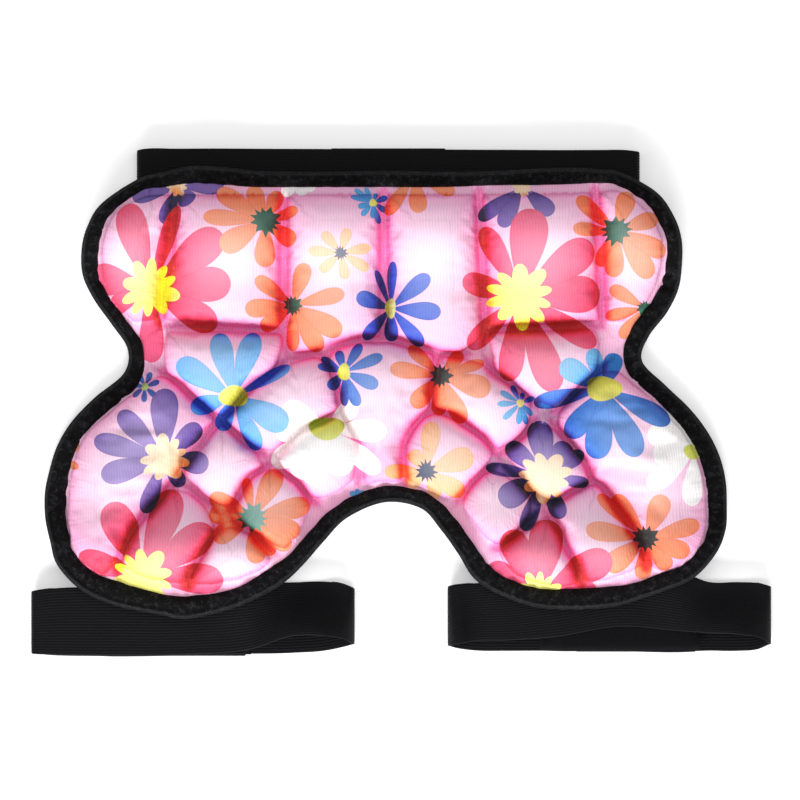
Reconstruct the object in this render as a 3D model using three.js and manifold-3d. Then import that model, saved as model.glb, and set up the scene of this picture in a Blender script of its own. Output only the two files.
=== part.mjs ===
// Tailbone protector: a child's quilted hip pad with an elastic waist loop and two leg loops.
// It lies face up on a flat surface. Millimetres, +X to its right side, +Y to the waist, +Z up.

import * as THREE from 'three';
import Module from 'manifold-3d';
import { mergeVertices } from 'three/addons/utils/BufferGeometryUtils.js';

const wasm = await Module();
wasm.setup();

// Pad
const padWidth = 355;
const padHeight = 234.5;
const coverBase = 2;
const pillowCrown = 13.5;
const seamWidth = 1.8;
const pillowCorner = 6;
const rearClothThick = 1.2;

// Binding
const tapeShow = 10;
const tapeThick = 1.2;

// Elastic loops
const elasticThick = 1.4;
const loopRoom = 5.5;
const beltWidth = 40;
const beltSpan = 261;
const beltShow = 9;
const beltShift = 1.3;
const strapWidth = 35;
const strapSpan = 168;

// Hook-and-loop patches
const patchThick = 1.8;
const patchMargin = 3;
const patchRamp = 12;

// Clearances
const clearance = 0.3;
const slopeRun = 32;
const slopeMargin = 2;

// How finely the soft forms are cut into facets
const edgeStations = 92;
const pillowSides = 20;
const slopeCreases = [0, 0.25, 0.75, 1];
const foldSteps = 6;

// Outline, one row for each feature of the edge, the same on both sides.
// Columns: left x, left y, right x, right y, as shares of half the pad's width and height.
const outlineRows = {
  topEdge: [-0.339, 0.976, 0.247, 0.973],
  topCorner: [-0.544, 1.0, 0.604, 0.989],
  shoulderTop: [-0.72, 0.938, 0.727, 0.947],
  shoulderSide: [-0.826, 0.831, 0.821, 0.818],
  shoulderLow: [-0.881, 0.667, 0.862, 0.65],
  flankHigh: [-0.881, 0.503, 0.859, 0.472],
  flank: [-0.814, 0.321, 0.801, 0.295],
  waist: [-0.751, 0.162, 0.749, 0.157],
  hipTop: [-0.785, 0.055, 0.795, 0.051],
  hipSide: [-0.896, -0.082, 0.912, -0.113],
  hip: [-0.975, -0.286, 0.98, -0.304],
  hipWidest: [-1.0, -0.481, 1.0, -0.481],
  hipLow: [-0.978, -0.667, 0.974, -0.685],
  lobeOuter: [-0.89, -0.863, 0.886, -0.84],
  lobeLow: [-0.735, -0.96, 0.73, -0.92],
  lobeLowest: [-0.55, -0.991, 0.54, -0.958],
  lobeRise: [-0.398, -0.933, 0.364, -0.92],
  lobeInner: [-0.281, -0.827, 0.264, -0.836],
  archSide: [-0.187, -0.672, 0.194, -0.681],
  archShoulder: [-0.096, -0.534, 0.112, -0.534],
};
const archTop = [0.007, -0.494];

// Places where the quilting seams cross, or meet the edge.
// Columns: x, y, as shares of half the pad's width and height.
const crossings = {
  top1: [-0.618, 0.94],
  top2: [-0.291, 0.94],
  top3: [-0.005, 0.94],
  top4: [0.264, 0.94],
  top5: [0.604, 0.94],
  shoulderLeft: [-0.87, 0.86],
  flankLeft: [-0.88, 0.4],
  waistLeft: [-0.745, 0.28],
  shoulderRight: [0.87, 0.84],
  flankRight: [0.87, 0.38],
  waistRight: [0.69, 0.29],
  row1: [-0.656, 0.295],
  row2: [-0.295, 0.273],
  row3: [-0.007, 0.224],
  row4: [0.294, 0.273],
  row5: [0.637, 0.29],
  arch1: [-0.19, 0.166],
  arch3: [0.153, 0.175],
  arch4: [0.294, 0.122],
  side1: [-0.652, 0.086],
  side2: [-0.284, 0.148],
  side3: [0.637, 0.091],
  left1: [-0.475, -0.113],
  right1: [0.452, -0.06],
  left2: [-0.339, -0.299],
  right2: [0.332, -0.268],
  column1: [-0.134, -0.095],
  column2: [-0.067, -0.299],
  column3: [0.053, -0.299],
  column4: [0.133, -0.086],
  archEdge1: [-0.1, -0.47],
  archEdge2: [-0.01, -0.52],
  archEdge3: [0.06, -0.47],
  left3: [-0.594, -0.357],
  left4: [-0.448, -0.517],
  left5: [-0.205, -0.477],
  left6: [-0.298, -0.73],
  leftLow1: [-0.35, -0.86],
  leftLow2: [-0.573, -0.93],
  leftLow3: [-0.76, -0.9],
  leftLow4: [-0.79, -0.755],
  leftLow5: [-0.87, -0.85],
  right3: [0.613, -0.401],
  right4: [0.467, -0.503],
  right5: [0.22, -0.455],
  right6: [0.323, -0.694],
  rightLow1: [0.41, -0.86],
  rightLow2: [0.572, -0.863],
  rightLow3: [0.774, -0.783],
  rightLow4: [0.87, -0.84],
  hipLeft1: [-0.76, 0.03],
  hipLeft2: [-0.9, -0.16],
  hipLeft3: [-1.0, -0.48],
  hipLeft4: [-0.97, -0.72],
  hipRight1: [0.76, 0.03],
  hipRight2: [0.91, -0.18],
  hipRight3: [1.0, -0.48],
  hipRight4: [0.97, -0.7],
};

// Pillows. Columns: height as a share of the crown, then the crossings round each one.
const pillows = {
  top1: [0.95, 'top1', 'shoulderLeft', 'flankLeft', 'waistLeft', 'row1'],
  top2: [1, 'top1', 'row1', 'row2', 'top2'],
  top3: [1, 'top2', 'row2', 'arch1', 'row3', 'top3'],
  top4: [1, 'top3', 'row3', 'arch3', 'row4', 'top4'],
  top5: [1, 'top4', 'row4', 'row5', 'top5'],
  top6: [0.9, 'top5', 'row5', 'waistRight', 'flankRight', 'shoulderRight'],
  side1: [1, 'row1', 'side1', 'left1', 'side2', 'row2'],
  side2: [1, 'row4', 'arch4', 'right1', 'side3', 'row5'],
  middle1: [0.9, 'arch1', 'side2', 'left1', 'left2', 'column1'],
  middle2: [1, 'arch1', 'column1', 'column2', 'archEdge1', 'archEdge2', 'archEdge3',
    'column3', 'column4', 'arch3', 'row3'],
  middle3: [0.9, 'arch3', 'column4', 'right2', 'right1', 'arch4'],
  hipLeft: [1, 'side1', 'hipLeft1', 'hipLeft2', 'hipLeft3', 'hipLeft4', 'leftLow5',
    'leftLow4', 'left3', 'left1'],
  hipRight: [1, 'side3', 'right1', 'right3', 'rightLow3', 'rightLow4', 'hipRight4',
    'hipRight3', 'hipRight2', 'hipRight1'],
  left1: [0.85, 'left1', 'left3', 'left4', 'left2'],
  left2: [0.85, 'column1', 'left2', 'left5', 'archEdge1', 'column2'],
  left3: [0.85, 'left2', 'left4', 'left6', 'left5'],
  left4: [0.9, 'left3', 'leftLow4', 'leftLow5', 'leftLow3', 'leftLow2', 'left4'],
  left5: [0.8, 'left4', 'leftLow2', 'leftLow1', 'left6'],
  right1: [0.85, 'right1', 'right2', 'right4', 'right3'],
  right2: [0.85, 'column4', 'column3', 'right5', 'right2'],
  right3: [0.85, 'right2', 'right5', 'right6', 'right4'],
  right4: [0.9, 'right3', 'right4', 'rightLow2', 'rightLow3'],
  right5: [0.8, 'right4', 'right6', 'rightLow1', 'rightLow2'],
};

// Section of a pillow from its seam to its crown.
// Columns: reach from the crown to the seam, height as a share of the pillow's height.
const pillowSection = [
  [1, 0],
  [0.95, 0.38],
  [0.8, 0.73],
  [0.48, 0.95],
];

// Leg loops, a row for each place along the span.
// Columns: place as a share of half the span, then the back layer's low edge, the front
// layer's low and high edges, and how far the front's low edge stands up, all as shares of
// the strap's width from the loop's centre line.
const strapRowsLeft = [
  [-1, -0.46, -0.46, 0.46, 0],
  [-0.9, -0.49, -0.47, 0.5, 0],
  [-0.63, -0.505, -0.48, 0.53, 0],
  [0, -0.49, -0.465, 0.52, 0],
  [0.35, -0.474, -0.4, 0.58, 0],
  [0.62, -0.46, -0.18, 0.6, 0.28],
  [0.8, -0.43, -0.17, 0.61, 0.34],
  [0.93, -0.37, -0.23, 0.57, 0.16],
  [1, -0.33, -0.33, 0.5, 0],
];
const strapRowsRight = [
  [-1, -0.42, -0.42, 0.46, 0],
  [-0.94, -0.46, -0.38, 0.49, 0.12],
  [-0.86, -0.49, -0.35, 0.51, 0.04],
  [-0.62, -0.5, -0.33, 0.55, 0],
  [-0.33, -0.5, -0.28, 0.7, 0],
  [0.06, -0.5, -0.13, 0.85, 0],
  [0.42, -0.515, -0.19, 0.72, 0.02],
  [0.6, -0.5, -0.21, 0.54, 0.22],
  [0.8, -0.5, -0.23, 0.53, 0.26],
  [0.93, -0.47, -0.29, 0.51, 0.12],
  [1, -0.4, -0.4, 0.46, 0],
];
const beltRows = [
  [-1, -0.49, -0.49, 0.47, 0],
  [-0.93, -0.5, -0.5, 0.5, 0],
  [0, -0.5, -0.5, 0.49, 0],
  [0.93, -0.5, -0.5, 0.5, 0],
  [1, -0.49, -0.49, 0.48, 0],
];

// Elastic loops. Centre is where the loop's middle lies, from the middle of the pad.
// Overlap is where its two ends lie on each other, as shares of half the span.
const beltLoop = {
  width: beltWidth,
  span: beltSpan,
  centre: [beltShift, padHeight / 2 + beltShow - beltWidth / 2],
  overlap: [-0.25, 0.25],
  rows: beltRows,
};
const strapLeftLoop = {
  width: strapWidth,
  span: strapSpan,
  centre: [-100, -padHeight / 2 - 2.5],
  overlap: [-0.43, 0.36],
  rows: strapRowsLeft,
};
const strapRightLoop = {
  width: strapWidth,
  span: strapSpan,
  centre: [116, -padHeight / 2],
  overlap: [-0.24, 0.53],
  rows: strapRowsRight,
};

// Heights above the surface that the pad lies on
const loopTop = 2 * elasticThick + loopRoom;
const raisedBy = loopTop + clearance;
const clothLow = tapeThick + clearance;
const coverLow = clothLow + rearClothThick + clearance;
const coverTop = coverLow + coverBase;
const tapeTop = coverTop + clearance + tapeThick;

function lerp(a, b, t) {
  return a + (b - a) * t;
}

// The value of one column of a table at a place along its first column.
function tableAt(rows, place, column) {
  const last = rows.length - 1;
  if (place <= rows[0][0]) return rows[0][column];
  if (place >= rows[last][0]) return rows[last][column];
  const next = rows.findIndex((row) => row[0] >= place);
  const [low, high] = [rows[next - 1], rows[next]];
  return lerp(low[column], high[column], (place - low[0]) / (high[0] - low[0]));
}

// The pad lies on the surface in its middle and rides over the loops at its ends.
const beltLowY = beltLoop.centre[1] - beltWidth / 2;
const strapHighShare = Math.max(...strapRowsLeft.map((row) => row[3]), ...strapRowsRight.map((row) => row[3]));
const strapHighY = Math.max(strapLeftLoop.centre[1], strapRightLoop.centre[1]) + strapHighShare * strapWidth;
const slopeRows = slopeTable();

function slopeTable() {
  const eased = slopeCreases.map((t) => [t, raisedBy * THREE.MathUtils.smoothstep(t, 0, 1)]);
  const lowEnd = strapHighY + slopeMargin;
  const highEnd = beltLowY - slopeMargin;
  return [
    [-padHeight, raisedBy],
    ...eased.map(([t, lift]) => [lowEnd + slopeRun * t, raisedBy - lift]),
    ...eased.map(([t, lift]) => [highEnd - slopeRun * (1 - t), lift]),
    [padHeight, raisedBy],
  ];
}

function rise(y) {
  return tableAt(slopeRows, y, 1);
}

// Closed mesh helpers

function geometryFrom(points, faces) {
  const geometry = new THREE.BufferGeometry();
  geometry.setAttribute('position', new THREE.Float32BufferAttribute(points.flat(), 3));
  geometry.setIndex(faces.flat());
  return geometry;
}

function solidFrom(geometry) {
  const bare = geometry.clone();
  bare.deleteAttribute('normal');
  bare.deleteAttribute('uv');
  const merged = mergeVertices(bare, 1e-4);
  return new wasm.Manifold(new wasm.Mesh({
    numProp: 3,
    vertProperties: new Float32Array(merged.attributes.position.array),
    triVerts: new Uint32Array(merged.index.array),
  }));
}

function geometryFromSolid(solid) {
  const mesh = solid.getMesh();
  const geometry = new THREE.BufferGeometry();
  geometry.setAttribute('position', new THREE.BufferAttribute(mesh.vertProperties.slice(), 3));
  geometry.setIndex(new THREE.BufferAttribute(mesh.triVerts.slice(), 1));
  return geometry;
}

// Joins equal rings of points into a body, closed between its ends or on itself.
function loft(rings, onItself = false) {
  const sides = rings[0].length;
  const faces = [];
  const spans = onItself ? rings.length : rings.length - 1;
  for (let i = 0; i < spans; i += 1) {
    const here = i * sides;
    const there = ((i + 1) % rings.length) * sides;
    for (let j = 0; j < sides; j += 1) {
      const next = (j + 1) % sides;
      faces.push([here + j, here + next, there + next], [here + j, there + next, there + j]);
    }
  }
  if (!onItself) {
    const far = (rings.length - 1) * sides;
    for (let j = 1; j < sides / 2; j += 1) {
      const a = j - 1;
      const b = j;
      const c = sides - 1 - j;
      const d = sides - j;
      faces.push([a, c, b], [a, d, c], [far + a, far + b, far + c], [far + a, far + c, far + d]);
    }
  }
  return geometryFrom(rings.flat(), faces);
}

// Outline of the pad

function outlineLoop(count) {
  const rows = Object.values(outlineRows);
  const right = rows.map((row) => new THREE.Vector3(row[2], row[3], 0));
  const left = rows.map((row) => new THREE.Vector3(row[0], row[1], 0)).reverse();
  const shares = [...right, new THREE.Vector3(...archTop, 0), ...left];
  const sized = shares.map((p) => new THREE.Vector3(p.x * padWidth / 2, p.y * padHeight / 2, 0));
  const loop = new THREE.CatmullRomCurve3(sized, true, 'centripetal').getSpacedPoints(count);
  loop.pop();
  const box = new THREE.Box3().setFromPoints(loop);
  const size = box.getSize(new THREE.Vector3());
  const middle = box.getCenter(new THREE.Vector3());
  return loop.map((p) => new THREE.Vector2(
    (p.x - middle.x) * padWidth / size.x,
    (p.y - middle.y) * padHeight / size.y,
  )).reverse();
}

function inwardNormals(loop) {
  const turn = THREE.ShapeUtils.area(loop) > 0 ? 1 : -1;
  return loop.map((p, i) => {
    const before = loop[(i + loop.length - 1) % loop.length];
    const after = loop[(i + 1) % loop.length];
    const along = after.clone().sub(before).normalize();
    return new THREE.Vector2(-along.y, along.x).multiplyScalar(turn);
  });
}

function insetLoop(loop, distance) {
  const normals = inwardNormals(loop);
  return loop.map((p, i) => p.clone().addScaledVector(normals[i], distance));
}

const outline = outlineLoop(edgeStations);

// A sheet between two heights that rides over the loops, cut to an outline.
function ridingSheet(low, high, edge) {
  const reach = padWidth;
  const rings = slopeRows.map(([y, lift]) => [
    [-reach, y, lift + low],
    [-reach, y, lift + high],
    [reach, y, lift + high],
    [reach, y, lift + low],
  ]);
  const prism = new THREE.ExtrudeGeometry(new THREE.Shape(edge), {
    depth: high + raisedBy + 1,
    bevelEnabled: false,
    steps: 1,
  });
  return solidFrom(loft(rings)).intersect(solidFrom(prism));
}

// Cuts the faces of a body along a line of constant y, so that it can bend there.
function creased(points, faces, y) {
  const onLine = 0.02;
  const made = new Map();
  const side = (i) => (Math.abs(points[i][1] - y) < onLine ? 0 : Math.sign(points[i][1] - y));
  const cut = (i, j) => {
    const key = i < j ? `${i} ${j}` : `${j} ${i}`;
    if (!made.has(key)) {
      const [p, q] = i < j ? [points[i], points[j]] : [points[j], points[i]];
      const t = (y - p[1]) / (q[1] - p[1]);
      made.set(key, points.length);
      points.push([lerp(p[0], q[0], t), y, lerp(p[2], q[2], t)]);
    }
    return made.get(key);
  };
  return faces.flatMap((face) => {
    const sides = face.map(side);
    if (!sides.includes(1) || !sides.includes(-1)) return [face];
    const above = [];
    const below = [];
    face.forEach((i, k) => {
      const j = face[(k + 1) % 3];
      if (sides[k] >= 0) above.push(i);
      if (sides[k] <= 0) below.push(i);
      if (sides[k] * sides[(k + 1) % 3] < 0) {
        above.push(cut(i, j));
        below.push(cut(i, j));
      }
    });
    return [above, below].flatMap((ring) => ring.slice(2).map((_, k) => [ring[0], ring[k + 1], ring[k + 2]]));
  });
}

// Lays a flat body over the loops and the surface.
function draped(geometry) {
  const { array } = geometry.attributes.position;
  const points = [];
  for (let i = 0; i < array.length; i += 3) points.push([array[i], array[i + 1], array[i + 2]]);
  let faces = [];
  for (let i = 0; i < geometry.index.count; i += 3) {
    faces.push([0, 1, 2].map((k) => geometry.index.getX(i + k)));
  }
  slopeRows.forEach(([y]) => {
    faces = creased(points, faces, y);
  });
  return geometryFrom(points.map(([x, y, z]) => [x, y, z + rise(y)]), faces);
}

// Pillows

function isInside(loop, p) {
  let inside = false;
  loop.forEach((a, i) => {
    const b = loop[(i + 1) % loop.length];
    const crosses = (a.y > p.y) !== (b.y > p.y);
    if (crosses && p.x < ((b.x - a.x) * (p.y - a.y)) / (b.y - a.y) + a.x) inside = !inside;
  });
  return inside;
}

function nearestOn(loop, p) {
  let best = loop[0];
  let least = Infinity;
  loop.forEach((a, i) => {
    const along = loop[(i + 1) % loop.length].clone().sub(a);
    const t = THREE.MathUtils.clamp(p.clone().sub(a).dot(along) / along.lengthSq(), 0, 1);
    const q = a.clone().addScaledVector(along, t);
    const distance = q.distanceTo(p);
    if (distance < least) {
      least = distance;
      best = q;
    }
  });
  return best;
}

// A polygon with its corners rounded, as evenly spaced points.
function roundedLoop(corners, radius, count) {
  const path = new THREE.Path();
  corners.forEach((corner, i) => {
    const before = corners[(i + corners.length - 1) % corners.length];
    const after = corners[(i + 1) % corners.length];
    const cutIn = Math.min(radius, corner.distanceTo(before) * 0.4);
    const cutOut = Math.min(radius, corner.distanceTo(after) * 0.4);
    const start = corner.clone().lerp(before, cutIn / corner.distanceTo(before));
    const end = corner.clone().lerp(after, cutOut / corner.distanceTo(after));
    if (i === 0) path.moveTo(start.x, start.y);
    else path.lineTo(start.x, start.y);
    path.quadraticCurveTo(corner.x, corner.y, end.x, end.y);
  });
  path.closePath();
  const loop = path.getSpacedPoints(count);
  loop.pop();
  return loop;
}

function pillowEdge(names, limit) {
  const corners = names.map((name) => {
    const [x, y] = crossings[name];
    return new THREE.Vector2(x * padWidth / 2, y * padHeight / 2);
  });
  const loop = insetLoop(roundedLoop(corners, pillowCorner, pillowSides * 4), seamWidth / 2);
  const held = loop.map((p) => (isInside(limit, p) ? p : nearestOn(limit, p)));
  const even = new THREE.Path(held.concat(held[0])).getSpacedPoints(pillowSides);
  even.pop();
  return THREE.ShapeUtils.area(even) > 0 ? even : even.reverse();
}

// The line that a pillow's crown follows: a point, or a stretch in a long pillow.
function crownLine(edge) {
  const middle = new THREE.Vector2();
  edge.forEach((p) => middle.addScaledVector(p, 1 / edge.length));
  let xx = 0;
  let xy = 0;
  let yy = 0;
  edge.forEach((p) => {
    xx += (p.x - middle.x) ** 2 / edge.length;
    yy += (p.y - middle.y) ** 2 / edge.length;
    xy += ((p.x - middle.x) * (p.y - middle.y)) / edge.length;
  });
  const angle = 0.5 * Math.atan2(2 * xy, xx - yy);
  const spread = Math.hypot((xx - yy) / 2, xy);
  const longHalf = Math.sqrt(2 * ((xx + yy) / 2 + spread));
  const shortHalf = Math.sqrt(2 * ((xx + yy) / 2 - spread));
  const reach = Math.max(0, longHalf - shortHalf) * 0.8;
  const along = new THREE.Vector2(Math.cos(angle), Math.sin(angle));
  return { middle, along, reach };
}

// A pillow, with its foot inside the sheet that it is sewn to.
function pillowSolid(edge, height) {
  const { middle, along, reach } = crownLine(edge);
  const ringAt = (share, lift) => edge.map((p) => {
    const place = THREE.MathUtils.clamp(p.clone().sub(middle).dot(along), -reach, reach);
    const crown = middle.clone().addScaledVector(along, place);
    const q = crown.lerp(p, share);
    return [q.x, q.y, coverTop + lift];
  });
  const foot = coverTop - coverBase / 2;
  const rings = [edge.map((p) => [p.x, p.y, foot])];
  pillowSection.forEach(([share, lift]) => rings.push(ringAt(share, lift * height)));
  const sides = edge.length;
  const points = rings.flat();
  const centre = points.length;
  points.push([middle.x, middle.y, foot], [middle.x, middle.y, coverTop + height]);
  const faces = [];
  for (let j = 0; j < sides; j += 1) {
    const next = (j + 1) % sides;
    for (let i = 0; i < rings.length - 1; i += 1) {
      const here = i * sides;
      const there = here + sides;
      faces.push([here + j, here + next, there + next], [here + j, there + next, there + j]);
    }
    const last = (rings.length - 1) * sides;
    faces.push([centre, next, j], [last + j, last + next, centre + 1]);
  }
  return solidFrom(draped(geometryFrom(points, faces)));
}

function quiltedPad() {
  const sheetEdge = insetLoop(outline, tapeThick + clearance);
  const pillowLimit = insetLoop(outline, tapeShow + clearance + seamWidth / 2);
  let pad = ridingSheet(coverLow, coverTop, sheetEdge);
  Object.values(pillows).forEach(([share, ...names]) => {
    pad = pad.add(pillowSolid(pillowEdge(names, pillowLimit), pillowCrown * share));
  });
  return geometryFromSolid(pad);
}

function rearCloth() {
  const edge = insetLoop(outline, tapeThick + clearance);
  return geometryFromSolid(ridingSheet(clothLow, clothLow + rearClothThick, edge));
}

// Tape folded round the edge. Columns of its section: distance in from the edge, height.
function edgeBinding() {
  const soften = tapeThick;
  const inside = tapeThick;
  const section = [
    [tapeShow, 0],
    [soften, 0],
    [0, soften],
    [0, tapeTop - soften],
    [soften, tapeTop],
    [tapeShow, tapeTop],
    [tapeShow, tapeTop - tapeThick],
    [inside, tapeTop - tapeThick],
    [inside, tapeThick],
    [tapeShow, tapeThick],
  ];
  const normals = inwardNormals(outline);
  const rings = outline.map((p, i) => section.map(([inward, height]) => {
    const q = p.clone().addScaledVector(normals[i], inward);
    return [q.x, q.y, height];
  }));
  return draped(loft(rings, true));
}

// The path of an elastic loop, seen along its width: centre line, outward direction, layer
// and place. It starts at the outer end, goes round, and its inner end lies over the start.
function loopPath({ span, overlap, rows }) {
  const half = span / 2;
  const radius = (elasticThick + loopRoom) / 2;
  const foldX = half - radius - elasticThick / 2;
  const low = elasticThick / 2;
  const high = low + 2 * radius;
  const innerEnd = elasticThick * 1.5 + 2 * clearance + patchThick;
  const [from, to] = overlap.map((share) => share * half);
  const places = rows.map((row) => row[0] * half).filter((x) => Math.abs(x) < foldX);
  const path = [];
  const flat = (x, z, layer) => path.push({ x, z, nx: 0, nz: layer === 'front' ? 1 : -1, layer });
  flat(from, low, 'back');
  places.filter((x) => x > from + 1).forEach((x) => flat(x, low, 'back'));
  for (let i = 0; i <= foldSteps; i += 1) {
    const a = -Math.PI / 2 + (Math.PI * i) / foldSteps;
    const [nx, nz] = [Math.cos(a), Math.sin(a)];
    path.push({ x: foldX + radius * nx, z: low + radius + radius * nz, nx, nz, layer: 'fold' });
  }
  places.slice().reverse().forEach((x) => flat(x, high, 'front'));
  for (let i = 0; i <= foldSteps; i += 1) {
    const a = Math.PI / 2 + (Math.PI * i) / foldSteps;
    const [nx, nz] = [Math.cos(a), Math.sin(a)];
    path.push({ x: -foldX + radius * nx, z: low + radius + radius * nz, nx, nz, layer: 'fold' });
  }
  const rampStart = from - patchMargin - patchRamp;
  places.filter((x) => x < rampStart - 1).forEach((x) => flat(x, low, 'back'));
  flat(rampStart, low, 'back');
  flat(from - patchMargin, innerEnd, 'back');
  flat(to, innerEnd, 'back');
  return path;
}

// A woven band along a loop's path, with its edges and its raised low edge from the table.
function elasticLoop(loop) {
  const { width, span, centre, rows } = loop;
  const across = [0, 0.34, 0.67, 1];
  const half = span / 2;
  const rings = loopPath(loop).map(({ x, z, nx, nz, layer }) => {
    const share = x / half;
    const backLow = tableAt(rows, share, 1);
    const frontLow = tableAt(rows, share, 2);
    const frontHigh = tableAt(rows, share, 3);
    const stand = tableAt(rows, share, 4);
    const turn = (1 + nz) / 2;
    const low = lerp(backLow, frontLow, turn);
    const high = lerp(Math.min(backLow + 1, frontHigh), frontHigh, turn);
    const side = (u, out) => {
      const lift = layer === 'front' ? stand * width * Math.sin((u * Math.PI) / 2) ** 2 : 0;
      return [
        centre[0] + x + nx * out,
        centre[1] + lerp(high, low, u) * width,
        z + nz * out + lift,
      ];
    };
    const outer = across.map((u) => side(u, elasticThick / 2));
    const inner = across.map((u) => side(u, -elasticThick / 2)).reverse();
    return [...outer, ...inner];
  });
  return loft(rings);
}

// A hook-and-loop patch between a loop's two overlapped ends.
function fastener({ width, span, centre, overlap, rows }) {
  const half = span / 2;
  const [from, to] = overlap.map((share) => share * half);
  const low = elasticThick + clearance;
  const stations = [from + patchMargin, (from + to) / 2, to - patchMargin];
  const rings = stations.map((x) => {
    const edge = centre[1] + tableAt(rows, x / half, 1) * width;
    return [
      [centre[0] + x, edge, low],
      [centre[0] + x, edge, low + patchThick],
      [centre[0] + x, edge + width, low + patchThick],
      [centre[0] + x, edge + width, low],
    ];
  });
  return loft(rings);
}

// Each body faces outwards, whichever way its rings ran.
function facingOut(geometry) {
  const { array } = geometry.attributes.position;
  const index = geometry.index.array;
  const [a, b, c] = [new THREE.Vector3(), new THREE.Vector3(), new THREE.Vector3()];
  let volume = 0;
  for (let i = 0; i < index.length; i += 3) {
    a.fromArray(array, index[i] * 3);
    b.fromArray(array, index[i + 1] * 3);
    c.fromArray(array, index[i + 2] * 3);
    volume += a.dot(b.cross(c));
  }
  if (volume < 0) {
    for (let i = 0; i < index.length; i += 3) {
      [index[i], index[i + 1]] = [index[i + 1], index[i]];
    }
  }
  return geometry;
}

function clothMaterial(color, roughness) {
  return new THREE.MeshStandardMaterial({ color, roughness, metalness: 0 });
}

const printedCloth = clothMaterial(0xf5a0c4, 0.75);
const plainCloth = clothMaterial(0x1b1b1e, 0.85);
const bindingTape = clothMaterial(0x121212, 0.95);
const elastic = clothMaterial(0x0d0d0f, 0.8);
const hookAndLoop = clothMaterial(0x141416, 1);

function piece(name, geometry, material) {
  const mesh = new THREE.Mesh(facingOut(geometry), material);
  mesh.name = name;
  return mesh;
}

const protector = new THREE.Group();
protector.add(
  piece('quilted_pad', quiltedPad(), printedCloth),
  piece('rear_cloth', rearCloth(), plainCloth),
  piece('edge_binding', edgeBinding(), bindingTape),
  piece('waist_belt', elasticLoop(beltLoop), elastic),
  piece('waist_fastener', fastener(beltLoop), hookAndLoop),
  piece('leg_strap_left', elasticLoop(strapLeftLoop), elastic),
  piece('leg_fastener_left', fastener(strapLeftLoop), hookAndLoop),
  piece('leg_strap_right', elasticLoop(strapRightLoop), elastic),
  piece('leg_fastener_right', fastener(strapRightLoop), hookAndLoop),
);

// The origin is at the middle of the underside.
const bounds = new THREE.Box3().setFromObject(protector);
const middle = bounds.getCenter(new THREE.Vector3());
protector.position.set(-middle.x, -middle.y, -bounds.min.z);
protector.updateMatrixWorld(true);

export default protector;
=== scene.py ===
# %% [markdown]
# A child's quilted tailbone pad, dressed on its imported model.
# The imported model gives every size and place. Blender adds what cloth does: crowned pillows,
# a printed knit, a brushed tape round the edge and ribbed elastic behind it.

import math
import random

import bmesh
import bpy
import numpy as np
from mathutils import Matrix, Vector
from mathutils.geometry import delaunay_2d_cdt
from mathutils.kdtree import KDTree


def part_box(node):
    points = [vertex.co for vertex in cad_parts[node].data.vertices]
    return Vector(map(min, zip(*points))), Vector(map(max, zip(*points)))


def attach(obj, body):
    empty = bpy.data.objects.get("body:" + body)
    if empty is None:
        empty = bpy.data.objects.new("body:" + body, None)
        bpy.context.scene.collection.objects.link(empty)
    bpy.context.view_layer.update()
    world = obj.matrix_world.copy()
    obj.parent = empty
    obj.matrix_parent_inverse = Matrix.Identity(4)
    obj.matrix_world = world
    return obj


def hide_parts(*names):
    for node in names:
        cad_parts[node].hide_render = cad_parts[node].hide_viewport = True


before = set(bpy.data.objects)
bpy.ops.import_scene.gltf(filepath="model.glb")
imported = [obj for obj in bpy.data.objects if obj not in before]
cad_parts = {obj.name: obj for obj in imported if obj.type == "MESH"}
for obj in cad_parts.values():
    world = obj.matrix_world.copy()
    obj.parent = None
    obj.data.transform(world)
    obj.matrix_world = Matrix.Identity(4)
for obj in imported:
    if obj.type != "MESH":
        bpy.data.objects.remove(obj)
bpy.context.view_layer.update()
MM = 0.001
pad_low, pad_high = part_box("edge_binding")
PAD_MIDDLE = ((pad_low[0] + pad_high[0]) / 2, (pad_low[1] + pad_high[1]) / 2)
PAD_SIZE = ((pad_high[0] - pad_low[0]) / MM, (pad_high[1] - pad_low[1]) / MM)
print("pad", PAD_SIZE, "mm, middle at", PAD_MIDDLE)

# %% [markdown]
# The photograph looks straight down on the pad. A camera could be orthographic, but a real
# one stands a little way off, so this one hangs 1.8 m up and its lens is as long as the view
# asks for. It comes first, so that every piece can be looked at as it is made.

# %% Camera
VIEW_WIDTH = 0.416
VIEW_MIDDLE = (-0.0006, 0.0012)
CAMERA_HEIGHT = 1.8
SENSOR = 36.0

bpy.ops.object.select_all(action="DESELECT")
bpy.ops.object.camera_add(location=(*VIEW_MIDDLE, CAMERA_HEIGHT), rotation=(0, 0, 0))
camera = bpy.context.object
camera.name = "camera"
camera.data.sensor_width = SENSOR
camera.data.lens = SENSOR * CAMERA_HEIGHT / VIEW_WIDTH
bpy.context.scene.camera = camera
print("lens", round(camera.data.lens, 1), "mm")

# %% [markdown]
# Studio light. The white on each pillow's lower slope says that the main light comes from the
# waist's far side, low in the picture. Small lights would draw hard shadows, so three large
# panels and a pale world fill the grooves softly.

# %% Lights and floor
# Columns: place, power in watts, size in metres.
PANELS = {
    "key_panel": ((-0.2, -1.35, 0.66), 36.0, (1.4, 0.5)),
    "fill_panel": ((-1.1, 0.3, 1.0), 2.0, (0.7, 0.7)),
    "top_panel": ((0.3, 0.5, 1.5), 5.5, (1.2, 1.2)),
}
PANELS_AIM = (0, 0, 0.01)
WORLD_LIGHT = 0.42
FLOOR_GLOW = 0.3
FLOOR_SIZE = 4

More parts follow.
